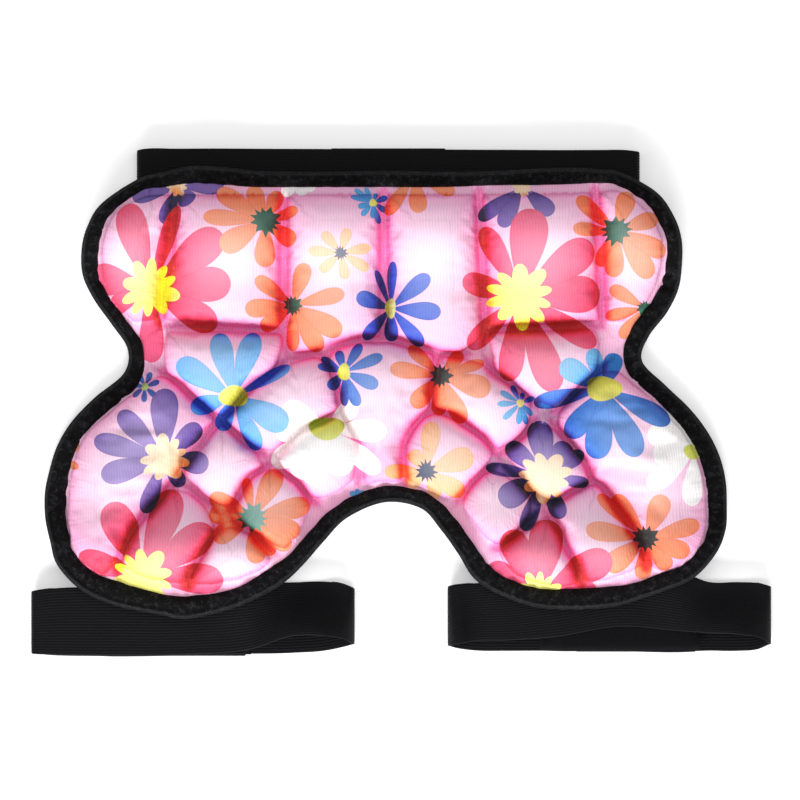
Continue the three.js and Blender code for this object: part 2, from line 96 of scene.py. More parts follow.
for name, (place, power, size) in PANELS.items():
    bpy.ops.object.light_add(type="AREA", location=place)
    panel = bpy.context.object
    panel.name = name
    panel.data.shape = "RECTANGLE"
    panel.data.size, panel.data.size_y = size
    panel.data.energy = power
    direction = Vector(PANELS_AIM) - Vector(place)
    panel.rotation_euler = direction.to_track_quat("-Z", "Y").to_euler()

world = bpy.data.worlds.new("studio")
world.use_nodes = True
world.node_tree.nodes["Background"].inputs["Color"].default_value = (1, 1, 1, 1)
world.node_tree.nodes["Background"].inputs["Strength"].default_value = WORLD_LIGHT
bpy.context.scene.world = world
bpy.context.scene.view_settings.view_transform = "Standard"


def srgb(red, green, blue):
    """A colour as it is read off a screen, 0 to 255, in Blender's linear light."""
    linear = []
    for value in (red, green, blue):
        share = value / 255
        linear.append(share / 12.92 if share <= 0.04045 else ((share + 0.055) / 1.055) ** 2.4)
    return (*linear, 1.0)


bpy.ops.object.select_all(action="DESELECT")
bpy.ops.mesh.primitive_plane_add(size=FLOOR_SIZE, location=(0, 0, 0))
floor = bpy.context.object
floor.name = "floor"
floor_finish = bpy.data.materials.new("pale_floor")
floor_finish.use_nodes = True
floor_shader = floor_finish.node_tree.nodes["Principled BSDF"]
floor_shader.inputs["Base Color"].default_value = (0.94, 0.94, 0.94, 1)
floor_shader.inputs["Roughness"].default_value = 0.9
floor_shader.inputs["Emission Color"].default_value = (1, 1, 1, 1)
floor_shader.inputs["Emission Strength"].default_value = FLOOR_GLOW
floor.data.materials.append(floor_finish)
print("floor and", len(PANELS), "panels")

# %% [markdown]
# Everything on the pad is charted in millimetres from the pad's middle, with +X to the right
# of the photograph and +Y to the waist. These helpers turn such a chart into smooth loops, and
# lift it over the elastic loops that the pad lies on at its top and bottom.

# %% Charts, loops and heights
ELASTIC_THICK = 1.4
LOOP_ROOM = 5.5
CLEARANCE = 0.3
TAPE_THICK = 1.2
REAR_THICK = 1.2
COVER_BASE = 2.0
LOOP_TOP = 2 * ELASTIC_THICK + LOOP_ROOM
RAISED_BY = LOOP_TOP + CLEARANCE
REAR_LOW = TAPE_THICK + CLEARANCE
COVER_LOW = REAR_LOW + REAR_THICK + CLEARANCE
COVER_TOP = COVER_LOW + COVER_BASE
TAPE_TOP = COVER_TOP + CLEARANCE + TAPE_THICK
SLOPE_LOW = (-85.5, -53.5)
SLOPE_HIGH = (52.25, 84.25)
CURVE_CUTS = 12


def eased(t):
    """A smooth step from 0 to 1."""
    t = np.clip(t, 0, 1)
    return t * t * (3 - 2 * t)


def rise(y):
    """How far the pad is lifted at this distance from its middle."""
    low = eased((SLOPE_LOW[1] - y) / (SLOPE_LOW[1] - SLOPE_LOW[0]))
    high = eased((y - SLOPE_HIGH[0]) / (SLOPE_HIGH[1] - SLOPE_HIGH[0]))
    return RAISED_BY * np.maximum(low, high)


def placed(points):
    """Charted millimetres, an array of x, y, z, as metres in the model's own place."""
    points = np.array(points, float)
    return points * MM + np.array([PAD_MIDDLE[0], PAD_MIDDLE[1], 0])


def charted(points):
    """Places in metres as flat millimetres from the pad's middle."""
    return (points[:, :2] - np.array(PAD_MIDDLE)) / MM


def evenly(loop, step):
    """The same closed loop with its points a steady step apart."""
    closed = np.vstack([loop, loop[:1]])
    along = np.r_[0, np.cumsum(np.linalg.norm(np.diff(closed[:, :2], axis=0), axis=1))]
    stops = np.linspace(0, along[-1], max(8, round(along[-1] / step)), endpoint=False)
    return np.column_stack([np.interp(stops, along, column) for column in closed.T])


def smooth_loop(points, step):
    """A closed curve through charted points, cut at a steady step."""
    p1 = np.array(points, float)
    p0, p2, p3 = np.roll(p1, 1, 0), np.roll(p1, -1, 0), np.roll(p1, -2, 0)
    t = np.linspace(0, 1, CURVE_CUTS, endpoint=False)[None, :, None]
    p0, p1, p2, p3 = (p[:, None, :] for p in (p0, p1, p2, p3))
    curve = 0.5 * (
        2 * p1 + (p2 - p0) * t + (2 * p0 - 5 * p1 + 4 * p2 - p3) * t**2
        + (3 * p1 - p0 - 3 * p2 + p3) * t**3
    )
    return evenly(curve.reshape(-1, p1.shape[-1]), step)


def turning_area(loop):
    x, y = loop[:, 0], loop[:, 1]
    return 0.5 * np.sum(x * np.roll(y, -1) - y * np.roll(x, -1))


def inward(loop):
    """Unit normals of a closed loop, pointing into it."""
    run = np.roll(loop[:, :2], -1, 0) - np.roll(loop[:, :2], 1, 0)
    run /= np.linalg.norm(run, axis=1)[:, None]
    normals = np.column_stack([-run[:, 1], run[:, 0]])
    return normals if turning_area(loop) > 0 else -normals


def is_inside(points, loop):
    """Which of the points lie inside a closed loop."""
    x, y = points[:, 0][:, None], points[:, 1][:, None]
    x1, y1 = loop[:, 0][None, :], loop[:, 1][None, :]
    x2, y2 = np.roll(x1, -1, 1), np.roll(y1, -1, 1)
    with np.errstate(divide="ignore", invalid="ignore"):
        crossing = ((y1 > y) != (y2 > y)) & (x < (x2 - x1) * (y - y1) / (y2 - y1) + x1)
    return crossing.sum(axis=1) % 2 == 1


def reach_to(points, loop, grain=0.25):
    """Each point's distance to a closed loop, and where along the loop it is nearest."""
    dense = evenly(loop[:, :2], grain)
    tree = KDTree(len(dense))
    for i, (x, y) in enumerate(dense):
        tree.insert((x, y, 0), i)
    tree.balance()
    found = [tree.find((x, y, 0)) for x, y in points[:, :2]]
    return np.array([f[2] for f in found]), np.array([f[1] for f in found]) * grain


print("pad is lifted", RAISED_BY, "mm at its ends")

# %% [markdown]
# The pad's outline. Its rows follow the tape's outer edge down the photograph, with the width of
# tape that shows there as a third number, because the tape is pulled wider round the lobes. A
# helper script measured and thinned them, so they stand closer together than the shape needs.

# %% Outline of the pad
EDGE_CHART = [
    (-128.5, 109.5, 6.5), (-114.5, 113.5, 8), (-99.5, 116.5, 9), (-80, 115.5, 9),
    (-66.5, 114, 8.5), (-33.5, 113.5, 8), (2, 114, 8.5), (28.5, 113.5, 8), (59.5, 114, 7.5),
    (75.5, 115, 8.5), (95.5, 115.5, 8.5), (109, 115, 7.5), (122, 113, 7), (140, 103, 8),
    (149, 90.5, 8.5), (153, 78.5, 8), (153.5, 66, 8.5), (152, 53.5, 9.5), (146, 41, 10),
    (136.5, 28.5, 10), (133, 16, 9.5), (145, 3.5, 9), (158, -9, 9.5), (167.5, -21.5, 10),
    (173.5, -34, 10.5), (176.5, -46.5, 10.5), (177, -59, 10), (176, -71.5, 9.5),
    (170.5, -84, 9), (159, -96.5, 9), (144, -103, 9.5), (132, -107, 9), (121, -110.5, 10.5),
    (102, -112.5, 11), (78, -111.5, 10), (58, -104.5, 9.5), (45.5, -96.5, 10.5),
    (37.5, -84, 9.5), (28.5, -71.5, 9.5), (18, -60.5, 8.5), (-0.5, -57.5, 8.5),
    (-20, -65.5, 8.5), (-32, -77.5, 9), (-43, -90, 9), (-53.5, -99.5, 10.5),
    (-69, -108, 9.5), (-82, -113, 10), (-102, -117.5, 12), (-116, -115.5, 11),
    (-140, -110.5, 12.5), (-157.5, -102.5, 11.5), (-169.5, -90, 11), (-173.5, -77.5, 10.5),
    (-176.5, -65.5, 11), (-177, -53, 11.5), (-174.5, -40.5, 10.5), (-170.5, -28, 10),
    (-163, -15.5, 9.5), (-151, -3, 10), (-136, 9.5, 9.5), (-134, 22, 8), (-142, 34.5, 7.5),
    (-151, 47, 7.5), (-157, 59.5, 8.5), (-157.5, 72, 9), (-154.5, 84.5, 8.5), (-147, 97, 7.5),
]
TAPE_STEP = 1.5
edge_loop = smooth_loop(EDGE_CHART, TAPE_STEP)
if turning_area(edge_loop) < 0:
    edge_loop = edge_loop[::-1]
edge_inward = inward(edge_loop)
print("edge", len(edge_loop), "stations,", round(len(edge_loop) * TAPE_STEP), "mm round")

# %% [markdown]
# The pillows. Each row is one of the 23 quilted pillows: its height as a share of the crown,
# and the corners of the seam round it, which a helper script turned from pixels of the
# photograph into millimetres. Neighbours share their corners, so corners that lie close
# together are first drawn into one, as a seamstress's chalk marks would be.

# %% Chart of the pillows
CROWN = 13.5
SEAM_WIDTH = 2.2
TOP_SEAM_WIDTH = 3.4
PILLOWS = {
    "top_1": (0.95, (-122.5, 102.5), (-108, 103.5), (-111.5, 73.5), (-117, 36), (-131.5, 34.5),
        (-137.5, 41), (-143, 47), (-146, 53.5), (-148, 59.5), (-148, 66), (-148, 72),
        (-147, 78.5), (-145, 84.5), (-142, 90.5), (-136, 97)),
    "top_2": (1, (-108, 103.5), (-52.5, 103.5), (-52.5, 31), (-83.5, 32.5), (-117, 36),
        (-111.5, 73.5)),
    "top_3": (1, (-52.5, 103.5), (-1, 103.5), (-1, 26.5), (-12, 26.5), (-24, 23.5),
        (-37.5, 19), (-50, 18), (-52.5, 31)),
    "top_4": (1, (-1, 103.5), (48, 103.5), (49.5, 73.5), (51, 42), (51, 32), (49, 25.5),
        (43, 21.5), (39, 18.5), (23.5, 21), (15.5, 23), (2, 26.5), (-1, 26.5)),
    "top_5": (1, (48, 103.5), (108, 104.5), (110.5, 73.5), (112.5, 35), (80, 33.5), (51, 32),
        (51, 42), (49.5, 73.5)),
    "top_6": (0.9, (108, 104.5), (119, 105.5), (128, 101), (136.5, 93), (141.5, 84.5),
        (144, 78.5), (144, 66), (141, 53.5), (135, 43), (123, 34.5), (112.5, 35),
        (110.5, 73.5)),
    "side_1": (1, (-114.5, 32), (-83.5, 32), (-54, 31), (-52, 25.5), (-55.5, 12.5), (-62.5, 7),
        (-70.5, 1.5), (-79, -8.5), (-84.5, -14), (-97, -5.5), (-107.5, 4), (-114.5, 10),
        (-116, 21.5)),
    "side_2": (1, (53, 31), (80, 32), (109.5, 33), (112, 24), (110.5, 11), (103.5, 4.5),
        (97, -1.5), (89, -9.5), (76.5, -5), (70.5, -0.5), (63.5, 5), (55, 11), (53, 24)),
    "middle_1": (0.9, (-50, 15.5), (-37.5, 19), (-32.5, 18), (-28, 10.5), (-25, 1),
        (-23.5, -10), (-33.5, -15.5), (-44, -20.5), (-57.5, -32), (-66, -30.5), (-76, -22.5),
        (-84.5, -14), (-79, -8.5), (-70.5, 1.5), (-62.5, 7), (-55.5, 12.5)),
    "middle_2": (1, (-32.5, 18), (-24, 23.5), (-12, 26.5), (2, 26.5), (15.5, 23), (26.5, 19.5),
        (25, 10.5), (23.5, 1.5), (24, -8.5), (19.5, -12.5), (14, -19), (10, -26.5),
        (9.5, -34.5), (8.5, -48), (-3, -48), (-12.5, -50), (-13, -34), (-15.5, -25),
        (-20, -17.5), (-23.5, -10), (-25, 1), (-28, 10.5)),
    "middle_3": (0.9, (26.5, 19.5), (39, 18.5), (51, 15.5), (55, 11), (63.5, 5), (70.5, -0.5),
        (76.5, -5), (75.5, -15), (72, -21.5), (66.5, -26.5), (60.5, -30), (57.5, -31.5),
        (50, -23.5), (41.5, -17.5), (34, -12.5), (26, -10), (24, -8.5), (23.5, 1.5),
        (25, 10.5)),
    "hip_left": (1, (-123.5, 7), (-115.5, 9), (-107.5, 4), (-97, -5.5), (-86.5, -15),
        (-93.5, -21.5), (-99.5, -29), (-104.5, -34), (-106, -41), (-111.5, -49), (-116.5, -55),
        (-124.5, -63.5), (-129.5, -70.5), (-134, -79), (-137.5, -88), (-145.5, -96.5),
        (-155, -90), (-159.5, -84), (-162.5, -77.5), (-164, -71.5), (-165, -65.5), (-165, -59),
        (-165, -53), (-164.5, -46.5), (-163, -40.5), (-161.5, -34), (-159, -28),
        (-155.5, -21.5), (-149.5, -15.5), (-142.5, -9), (-135, -3), (-128.5, 2.5)),
    "hip_right": (1, (88, -14), (89, -9.5), (97, -1.5), (103.5, 4.5), (110, 10.5), (120, 12),
        (125.5, 8), (131, 3), (138, -3), (144, -9), (150.5, -15.5), (155, -21.5), (159, -28),
        (162, -34), (164, -40.5), (165.5, -46.5), (166.5, -53), (166.5, -59), (166.5, -65.5),
        (165.5, -71.5), (163.5, -77.5), (158.5, -84), (152, -90), (142.5, -94), (136.5, -91.5),
        (132.5, -82), (127.5, -72.5), (123.5, -65.5), (117, -56.5), (112, -48), (107, -45.5),
        (102.5, -35.5), (98, -30), (93, -24), (88, -18)),
    "left_1": (0.85, (-86.5, -16), (-78, -22.5), (-71, -27.5), (-64.5, -34), (-61, -38),
        (-70, -44), (-73.5, -49.5), (-78, -57.5), (-80.5, -60), (-87, -59.5), (-94, -55),
        (-101.5, -48), (-105.5, -43.5), (-104, -38.5), (-99, -32), (-94, -25.5)),
    "left_2": (0.85, (-57.5, -35), (-44, -20.5), (-33.5, -15.5), (-24, -11), (-20, -17.5),
        (-15.5, -25), (-13, -34), (-15, -40), (-15.5, -45.5), (-20.5, -50.5), (-27.5, -54.5),
        (-36, -56), (-44, -49), (-51, -43.5)),
    "left_3": (0.85, (-61, -39.5), (-54, -41.5), (-47, -46.5), (-41, -53.5), (-37, -57.5),
        (-39, -62.5), (-43.5, -74.5), (-52, -82.5), (-58, -80), (-67.5, -74), (-75.5, -67.5),
        (-79.5, -61.5), (-78, -57.5), (-73.5, -49.5), (-70, -44)),
    "left_4": (0.9, (-108, -50), (-101.5, -51.5), (-93.5, -58), (-88, -67), (-88, -71.5),
        (-92, -79), (-96.5, -86.5), (-101, -94.5), (-103, -99.5), (-113, -99), (-125, -97),
        (-137.5, -90.5), (-134, -79), (-129.5, -70.5), (-124.5, -64.5), (-116.5, -55.5),
        (-112, -50)),
    "left_5": (0.8, (-86.5, -71.5), (-80.5, -68.5), (-73.5, -71), (-67, -76.5), (-60.5, -82.5),
        (-57.5, -87.5), (-64.5, -93.5), (-76, -98), (-89.5, -100.5), (-102, -101),
        (-101, -94.5), (-96.5, -86.5), (-92, -79)),
    "right_1": (0.85, (79, -15.5), (87, -18), (93, -24), (98, -30), (102.5, -35.5), (106, -43),
        (107, -47), (99.5, -50), (92.5, -54), (86, -57.5), (82, -56.5), (75, -51), (69, -43.5),
        (61, -33.5), (60.5, -30), (66.5, -26.5), (72, -21.5), (75.5, -17)),
    "right_2": (0.85, (10, -26.5), (14, -19), (19.5, -12.5), (26, -10), (34, -12.5),
        (41.5, -17.5), (50, -23.5), (57.5, -31.5), (54, -37.5), (49.5, -42), (44.5, -47.5),
        (39.5, -53.5), (34.5, -56.5), (29, -55.5), (20.5, -51), (11, -47), (9.5, -41),
        (9.5, -34.5)),
    "right_3": (0.85, (51.5, -41.5), (56, -40), (60, -41), (66.5, -45.5), (73.5, -52.5),
        (76, -57.5), (76, -62.5), (70, -71.5), (63.5, -76), (57.5, -80.5), (50, -75.5),
        (43.5, -67.5), (38.5, -59.5), (40, -54), (45, -47.5)),
    "right_4": (0.9, (107, -48), (112, -49.5), (117, -56.5), (123.5, -65.5), (127.5, -72.5),
        (132.5, -82), (135, -89), (126, -94), (114.5, -98), (103.5, -99), (100.5, -96),
        (97.5, -87.5), (93, -80), (90, -72), (86, -65.5), (83.5, -60.5), (86, -58),
        (92.5, -54.5), (99.5, -50.5)),
    "right_5": (0.8, (83.5, -63), (86.5, -67), (90, -72.5), (93, -80.5), (97.5, -88),
        (100.5, -96.5), (98.5, -100.5), (90.5, -102), (83, -101), (75, -99), (67, -95.5),
        (63, -92), (58, -86), (57.5, -81), (63.5, -76), (70, -71.5), (76, -67)),
}
SAME_CORNER = 2.4
ON_THE_SEAM = 1.7
SAME_POINT = 0.4
END_SHARE = 0.04
CORNER_STEP = 4.0
CORNER_ROUNDS = 2
SEAM_STEP = 1.9


def share_corners(charts):
    """Corners of different pillows that mark one place become one point."""
    owner = np.array([k for k, chart in enumerate(charts) for _ in chart])
    points = np.array([p for chart in charts for p in chart], float)
    group = np.arange(len(points))
    for i in range(len(points)):
        near = np.linalg.norm(points - points[i], axis=1) < SAME_CORNER
        for j in np.nonzero(near & (owner != owner[i]))[0]:
            group[group == group[j]] = group[i]
    for g in np.unique(group):
        points[group == g] = points[group == g].mean(axis=0)
    return [points[owner == k] for k in range(len(charts))]


def add_neighbours(chart, others):
    """A neighbour's corner that lies on this pillow's edge becomes a corner of it too."""
    grown = []
    for a, b in zip(chart, np.roll(chart, -1, 0)):
        run = b - a
        found = []
        for p in others:
            t = (p - a) @ run / (run @ run)
            if END_SHARE < t < 1 - END_SHARE and np.linalg.norm(p - a - t * run) < ON_THE_SEAM:
                found.append((t, tuple(p)))
        grown += [tuple(a)] + [p for t, p in sorted(set(found))]
    return np.array([p for i, p in enumerate(grown) if math.dist(p, grown[i - 1]) > SAME_POINT])


def rounded(chart):
    """A charted polygon with its corners eased, cut at the step of the cover's mesh."""
    dense = []
    for a, b in zip(chart, np.roll(chart, -1, 0)):
        cuts = max(1, round(np.linalg.norm(b - a) / CORNER_STEP))
        dense += [a + (b - a) * k / cuts for k in range(cuts)]
    loop = np.array(dense)
    for _ in range(CORNER_ROUNDS):
        following = np.roll(loop, -1, 0)
        loop = np.stack([0.75 * loop + 0.25 * following, 0.25 * loop + 0.75 * following], 1)
        loop = loop.reshape(-1, 2)
    return loop


charts = share_corners([row[1:] for row in PILLOWS.values()])
every_corner = np.vstack(charts)
pillow_loops = []
for name, chart in zip(PILLOWS, charts):
    loop = rounded(add_neighbours(chart, every_corner))
    if turning_area(loop) < 0:
        loop = loop[::-1]
    loop = evenly(loop, SEAM_STEP)
    wide = TOP_SEAM_WIDTH if name.startswith("top") else SEAM_WIDTH
    pillow_loops.append(evenly(loop + inward(loop) * wide / 2, SEAM_STEP))
print(len(pillow_loops), "pillows,", sum(len(x) for x in pillow_loops), "seam points")

# %% [markdown]
# The cover's mesh. A voxel remesh would erase seams this narrow, so the net of triangles is
# laid row by row: points on each seam, closer rows where the cloth turns down steeply, and a
# wider net over the crowns. Blender's Delaunay tool joins them and keeps the seams.

# %% Net of the cover
# Columns: how far in from the seam a row of points runs, and the step along it.
ROWS_BY_SEAM = [(1.0, 1.9), (2.5, 2.2), (4.4, 2.7), (6.8, 3.0)]
ROW_CLEAR = 0.86
POINT_CLEAR = 0.62
NET_STEP = 3.3
NET_FROM = 8.6
NET_ROW = 0.866
MARGIN_STEP = 5.0
MARGIN_CLEAR = 2.2
COVER_INSET = 1.6
COVER_EDGE_STEP = 2.6
SAME_PLACE = 1e-5
HELD = -1


def net_inside(loop, step, clear):
    """Points of a honeycomb net inside a loop, and at least this clear of it."""
    low, high = loop.min(axis=0), loop.max(axis=0)
    net = np.array([
        (x, y)
        for j, y in enumerate(np.arange(low[1], high[1], step * NET_ROW))
        for x in np.arange(low[0] + (j % 2) * step / 2, high[0], step)
    ])
    net = net[is_inside(net, loop)]
    gap, _ = reach_to(net, loop)
    return net[gap > clear]


def net_of_pillow(loop):
    """Points inside a pillow: rows along its seam, then a honeycomb."""
    kept = np.empty((0, 2))
    normals = inward(loop)
    for depth, step in ROWS_BY_SEAM:
        row = evenly(loop + normals * depth, step)
        gap, _ = reach_to(row, loop)
        for p in row[is_inside(row, loop) & (gap > depth * ROW_CLEAR)]:
            if not len(kept) or np.min(np.linalg.norm(kept - p, axis=1)) > step * POINT_CLEAR:
                kept = np.vstack([kept, p])
    return np.vstack([kept, net_inside(loop, NET_STEP, NET_FROM)])


def triangulated(points, seams, rim):
    """A flat net of triangles inside its first points, and which point each one was."""
    flat = [Vector(p) for p in points]
    made = delaunay_2d_cdt(flat, seams, [list(range(rim))], 1, SAME_PLACE)
    was = [origin[0] if origin else HELD for origin in made[3]]
    return np.array([tuple(p) for p in made[0]]), np.array(made[2]), was


cover_edge = evenly(edge_loop[:, :2] + edge_inward * COVER_INSET, COVER_EDGE_STEP)
points, owner, seams = [*cover_edge], [HELD] * len(cover_edge), []
for k, loop in enumerate(pillow_loops):
    first = len(points)
    inner = net_of_pillow(loop)
    seams += [(first + i, first + (i + 1) % len(loop)) for i in range(len(loop))]
    points += [*loop, *inner]
    owner += [HELD] * len(loop) + [k] * len(inner)
margin = net_inside(cover_edge, MARGIN_STEP, MARGIN_CLEAR)
for loop in pillow_loops:
    gap, _ = reach_to(margin, loop)
    margin = margin[~is_inside(margin, loop) & (gap > MARGIN_CLEAR)]
points += [*margin]
owner += [HELD] * len(margin)
net_points, net_faces, was = triangulated(points, seams, len(cover_edge))
net_owner = np.array([HELD if i == HELD else owner[i] for i in was])
print(len(net_points), "points,", len(net_faces), "triangles in the cover")

# %% [markdown]
# The pillows' first shape. A skin that is blown up over an outline takes the shape that the
# membrane equation gives, so that is solved on the net, with every seam held down. A power
# below one then steepens the sides, as a foam block under the cloth does.

# %% Raise the crowns
STEEPNESS = 0.36
LEAST_WEIGHT = 0.02
MOST_ROUNDS = 400
SETTLED = 1e-10


def blown_up(points, faces, held):
    """Solves the membrane equation on a flat net, with the held points at nought."""
    a, b, c = (points[faces[:, i]] for i in range(3))
    rows, columns, weights = [], [], []
    for i, (p, q, r) in enumerate(((a, b, c), (b, c, a), (c, a, b))):
        u, v = q - p, r - p
        cross = np.abs(u[:, 0] * v[:, 1] - u[:, 1] * v[:, 0]) + 1e-9
        weights.append(0.5 * np.sum(u * v, axis=1) / cross)
        rows.append(faces[:, (i + 1) % 3])
        columns.append(faces[:, (i + 2) % 3])
    rows, columns, weights = (np.concatenate(x) for x in (rows, columns, weights))
    weights = np.clip(weights, LEAST_WEIGHT, None)
    count = len(points)
    free = ~held
    area = np.abs((b - a)[:, 0] * (c - a)[:, 1] - (b - a)[:, 1] * (c - a)[:, 0]) / 6
    load = sum(np.bincount(faces[:, i], area, count) for i in range(3)) * free
    diagonal = np.bincount(rows, weights, count) + np.bincount(columns, weights, count) + 1e-9

    def pull(h):
        flow = weights * (h[rows] - h[columns])
        return (np.bincount(rows, flow, count) - np.bincount(columns, flow, count)) * free

    height = np.zeros(count)
    rest = load.copy()
    ready = rest / diagonal
    step = ready.copy()
    size = rest @ ready
    for _ in range(MOST_ROUNDS):
        pulled = pull(step)
        share = size / (step @ pulled)
        height += share * step
        rest -= share * pulled
        ready = rest / diagonal
        fresh = rest @ ready
        step = ready + fresh / size * step
        size = fresh
        if size < SETTLED:
            break
    return height


held = net_owner < 0
skin = blown_up(net_points, net_faces, held)
crown_share = np.zeros(len(net_points))
pillow_height = np.zeros(len(net_points))
for k, row in enumerate(PILLOWS.values()):
    mine = net_owner == k
    crown_share[mine] = (np.clip(skin[mine], 0, None) / skin[mine].max()) ** STEEPNESS
    pillow_height[mine] = row[0] * CROWN * crown_share[mine]
print("tallest", round(pillow_height.max(), 2), "mm over the seams")

# %% [markdown]
# The cloth itself. The cover is simulated as cloth: its seams are pinned, the air inside
# presses it out, and it is cut a little large, so it wrinkles where it is gathered. A point
# may only move a few millimetres, so the pad keeps its charted shape.

# %% Simulate the cover
SIM_FRAMES = 18
MOST_MOVE = 2.2
CLOTH = {
    "quality": 6, "mass": 0.1, "tension_stiffness": 12, "compression_stiffness": 12,
    "bending_stiffness": 0.25, "use_pressure": True, "uniform_pressure_force": 3.0,
    "shrink_min": -0.035, "vertex_group_mass": "seams", "pin_stiffness": 1,
}


def mesh_object(name, points, faces):
    """A new mesh object at the origin, from points in metres."""
    mesh = bpy.data.meshes.new(name)
    mesh.from_pydata([tuple(p) for p in points], [], [tuple(f) for f in faces])
    mesh.validate()
    mesh.update()
    obj = bpy.data.objects.new(name, mesh)
    bpy.context.collection.objects.link(obj)
    return obj


def only(obj):
    bpy.ops.object.select_all(action="DESELECT")
    obj.select_set(True)
    bpy.context.view_layer.objects.active = obj


def coordinates(mesh):
    flat = np.empty(len(mesh.vertices) * 3)
    mesh.vertices.foreach_get("co", flat)
    return flat.reshape(-1, 3)


def settled(points, faces, held):
    """The cover's points, in millimetres, after the cloth has settled under pressure."""
    obj = mesh_object("cover_cloth", np.array(points) * MM, faces)
    group = obj.vertex_groups.new(name="seams")
    group.add([int(i) for i in np.nonzero(held)[0]], 1.0, "REPLACE")
    cloth = obj.modifiers.new("cloth", "CLOTH")
    for name, value in CLOTH.items():
        setattr(cloth.settings, name, value)
    cloth.settings.effector_weights.gravity = 0
    cloth.collision_settings.use_collision = False
    cloth.point_cache.frame_start = 1
    cloth.point_cache.frame_end = SIM_FRAMES
    only(obj)
    for number in range(1, SIM_FRAMES + 1):
        bpy.context.scene.frame_set(number)
    bpy.ops.object.modifier_apply(modifier="cloth")
    moved = coordinates(obj.data) / MM
    bpy.context.scene.frame_set(1)
    bpy.data.objects.remove(obj)
    return moved


start = np.column_stack([net_points, COVER_TOP + pillow_height])
shaped = start.copy()
shaped = settled(start, net_faces, held)
shift = shaped - start
far = np.linalg.norm(shift, axis=1)
print("cloth moved", round(far.mean(), 2), "mm on average,", round(far.max(), 2), "at most")
capped = MOST_MOVE * np.tanh(far / MOST_MOVE)
shaped = start + shift * (capped / np.maximum(far, 1e-9))[:, None]
shaped[:, 2] += rise(shaped[:, 1])

# %% [markdown]
# The cover goes down under the tape and round the foam, so its skin is closed: a wall all
# round and a plain back. One level of subdivision then rounds the triangles, and it is applied
# so that the print can be laid on the finished faces.

# %% Close the cover
BACK_STEP = 7.0
BACK_CLEAR = 0.45
KINDS = {1: ("FLOAT", "value"), 3: ("FLOAT_VECTOR", "vector"), 4: ("FLOAT_COLOR", "color")}


def back_sheet(loop, step, height):
    """A flat net inside a loop, lifted as the pad is."""
    grid = net_inside(loop, step, step * BACK_CLEAR)
    xy, faces, _ = triangulated([*loop, *grid], [], len(loop))
    return np.column_stack([xy, height + rise(xy[:, 1])]), faces


def edge_ring(points, loop):
    """Which points of a net are the loop's own, in the loop's order."""
    return [int(np.argmin(np.linalg.norm(points[:, :2] - p, axis=1))) for p in loop]


def steps_round(ring):
    """Each item of a closed ring with the next one."""
    return list(zip(ring, ring[1:] + ring[:1]))


def keep(obj, domain, **named):
    """Keeps values on an object's points or faces, where a material can read them."""
    for name, values in named.items():
        values = np.array(values, np.float32)
        kind, key = KINDS[values.shape[1] if values.ndim > 1 else 1]
        layer = obj.data.attributes.new(name, kind, domain)
        layer.data.foreach_set(key, values.ravel())


def finish_mesh(obj, levels=0):
    """Applies a subdivision and makes the faces point outwards."""
    only(obj)
    if levels:
        smooth = obj.modifiers.new("round", "SUBSURF")
        smooth.levels = smooth.render_levels = levels
        bpy.ops.object.modifier_apply(modifier="round")
    work = bmesh.new()
    work.from_mesh(obj.data)
    bmesh.ops.recalc_face_normals(work, faces=work.faces)
    work.to_mesh(obj.data)
    work.free()
    obj.data.polygons.foreach_set("use_smooth", [True] * len(obj.data.polygons))
    obj.data.update()


back_points, back_faces = back_sheet(cover_edge, BACK_STEP, COVER_LOW)
base = len(shaped)
top_ring = edge_ring(net_points, cover_edge)
back_ring = [base + i for i in edge_ring(back_points, cover_edge)]
walls = [(a, c, d, b) for (a, b), (c, d) in zip(steps_round(top_ring), steps_round(back_ring))]
cover = mesh_object(
    "quilted_cover",
    placed(np.vstack([shaped, back_points])),
    [tuple(f) for f in net_faces] + walls + [tuple(base + f[::-1]) for f in back_faces],
)
keep(cover, "POINT", crown=np.r_[crown_share, np.zeros(len(back_points))])
finish_mesh(cover, levels=1)
print("cover", len(cover.data.polygons), "faces")

# %% [markdown]
# The print is a plain pattern of daisies. Each flower is a row: its look, where its middle is,
# how big that is, and its petals as angle, length and half width. A petal is an oval that is
# narrow where it starts. An image would be simpler, but a drawn petal stays sharp at any size.

# %% Chart of the print
# Columns: petal, middle, how far its rim waves (spikes below nought), waves, height by width.
LOOKS = {
    "rose": (srgb(240, 84, 130), srgb(254, 251, 140), 0.38, 10, 1.0),
    "orange": (srgb(250, 150, 108), srgb(24, 104, 82), -0.34, 11, 1.0),
    "orange_pale": (srgb(250, 150, 108), srgb(110, 165, 150), -0.34, 11, 1.0),
    "orange_dark": (srgb(250, 150, 108), srgb(10, 40, 30), -0.34, 11, 1.0),
    "peach": (srgb(253, 196, 152), srgb(52, 70, 100), -0.4, 12, 1.0),
    "sky": (srgb(105, 178, 235), srgb(228, 225, 100), 0.0, 5, 0.75),
    "blue": (srgb(35, 92, 205), srgb(232, 230, 165), 0.0, 5, 1.86),
    "azure": (srgb(120, 190, 235), srgb(226, 220, 95), 0.0, 5, 0.7),
    "cobalt": (srgb(12, 122, 208), srgb(226, 220, 95), 0.0, 5, 0.7),
    "small_blue": (srgb(62, 125, 210), srgb(228, 224, 105), 0.0, 5, 1.33),
    "tiny": (srgb(90, 175, 228), srgb(248, 240, 150), 0.0, 5, 1.0),
    "tiny_dark": (srgb(50, 105, 190), srgb(200, 215, 150), 0.0, 5, 1.0),
    "purple": (srgb(128, 98, 178), srgb(253, 220, 186), 0.34, 9, 1.0),
    "white": (srgb(255, 252, 252), srgb(226, 230, 110), 0.0, 5, 0.64),
}
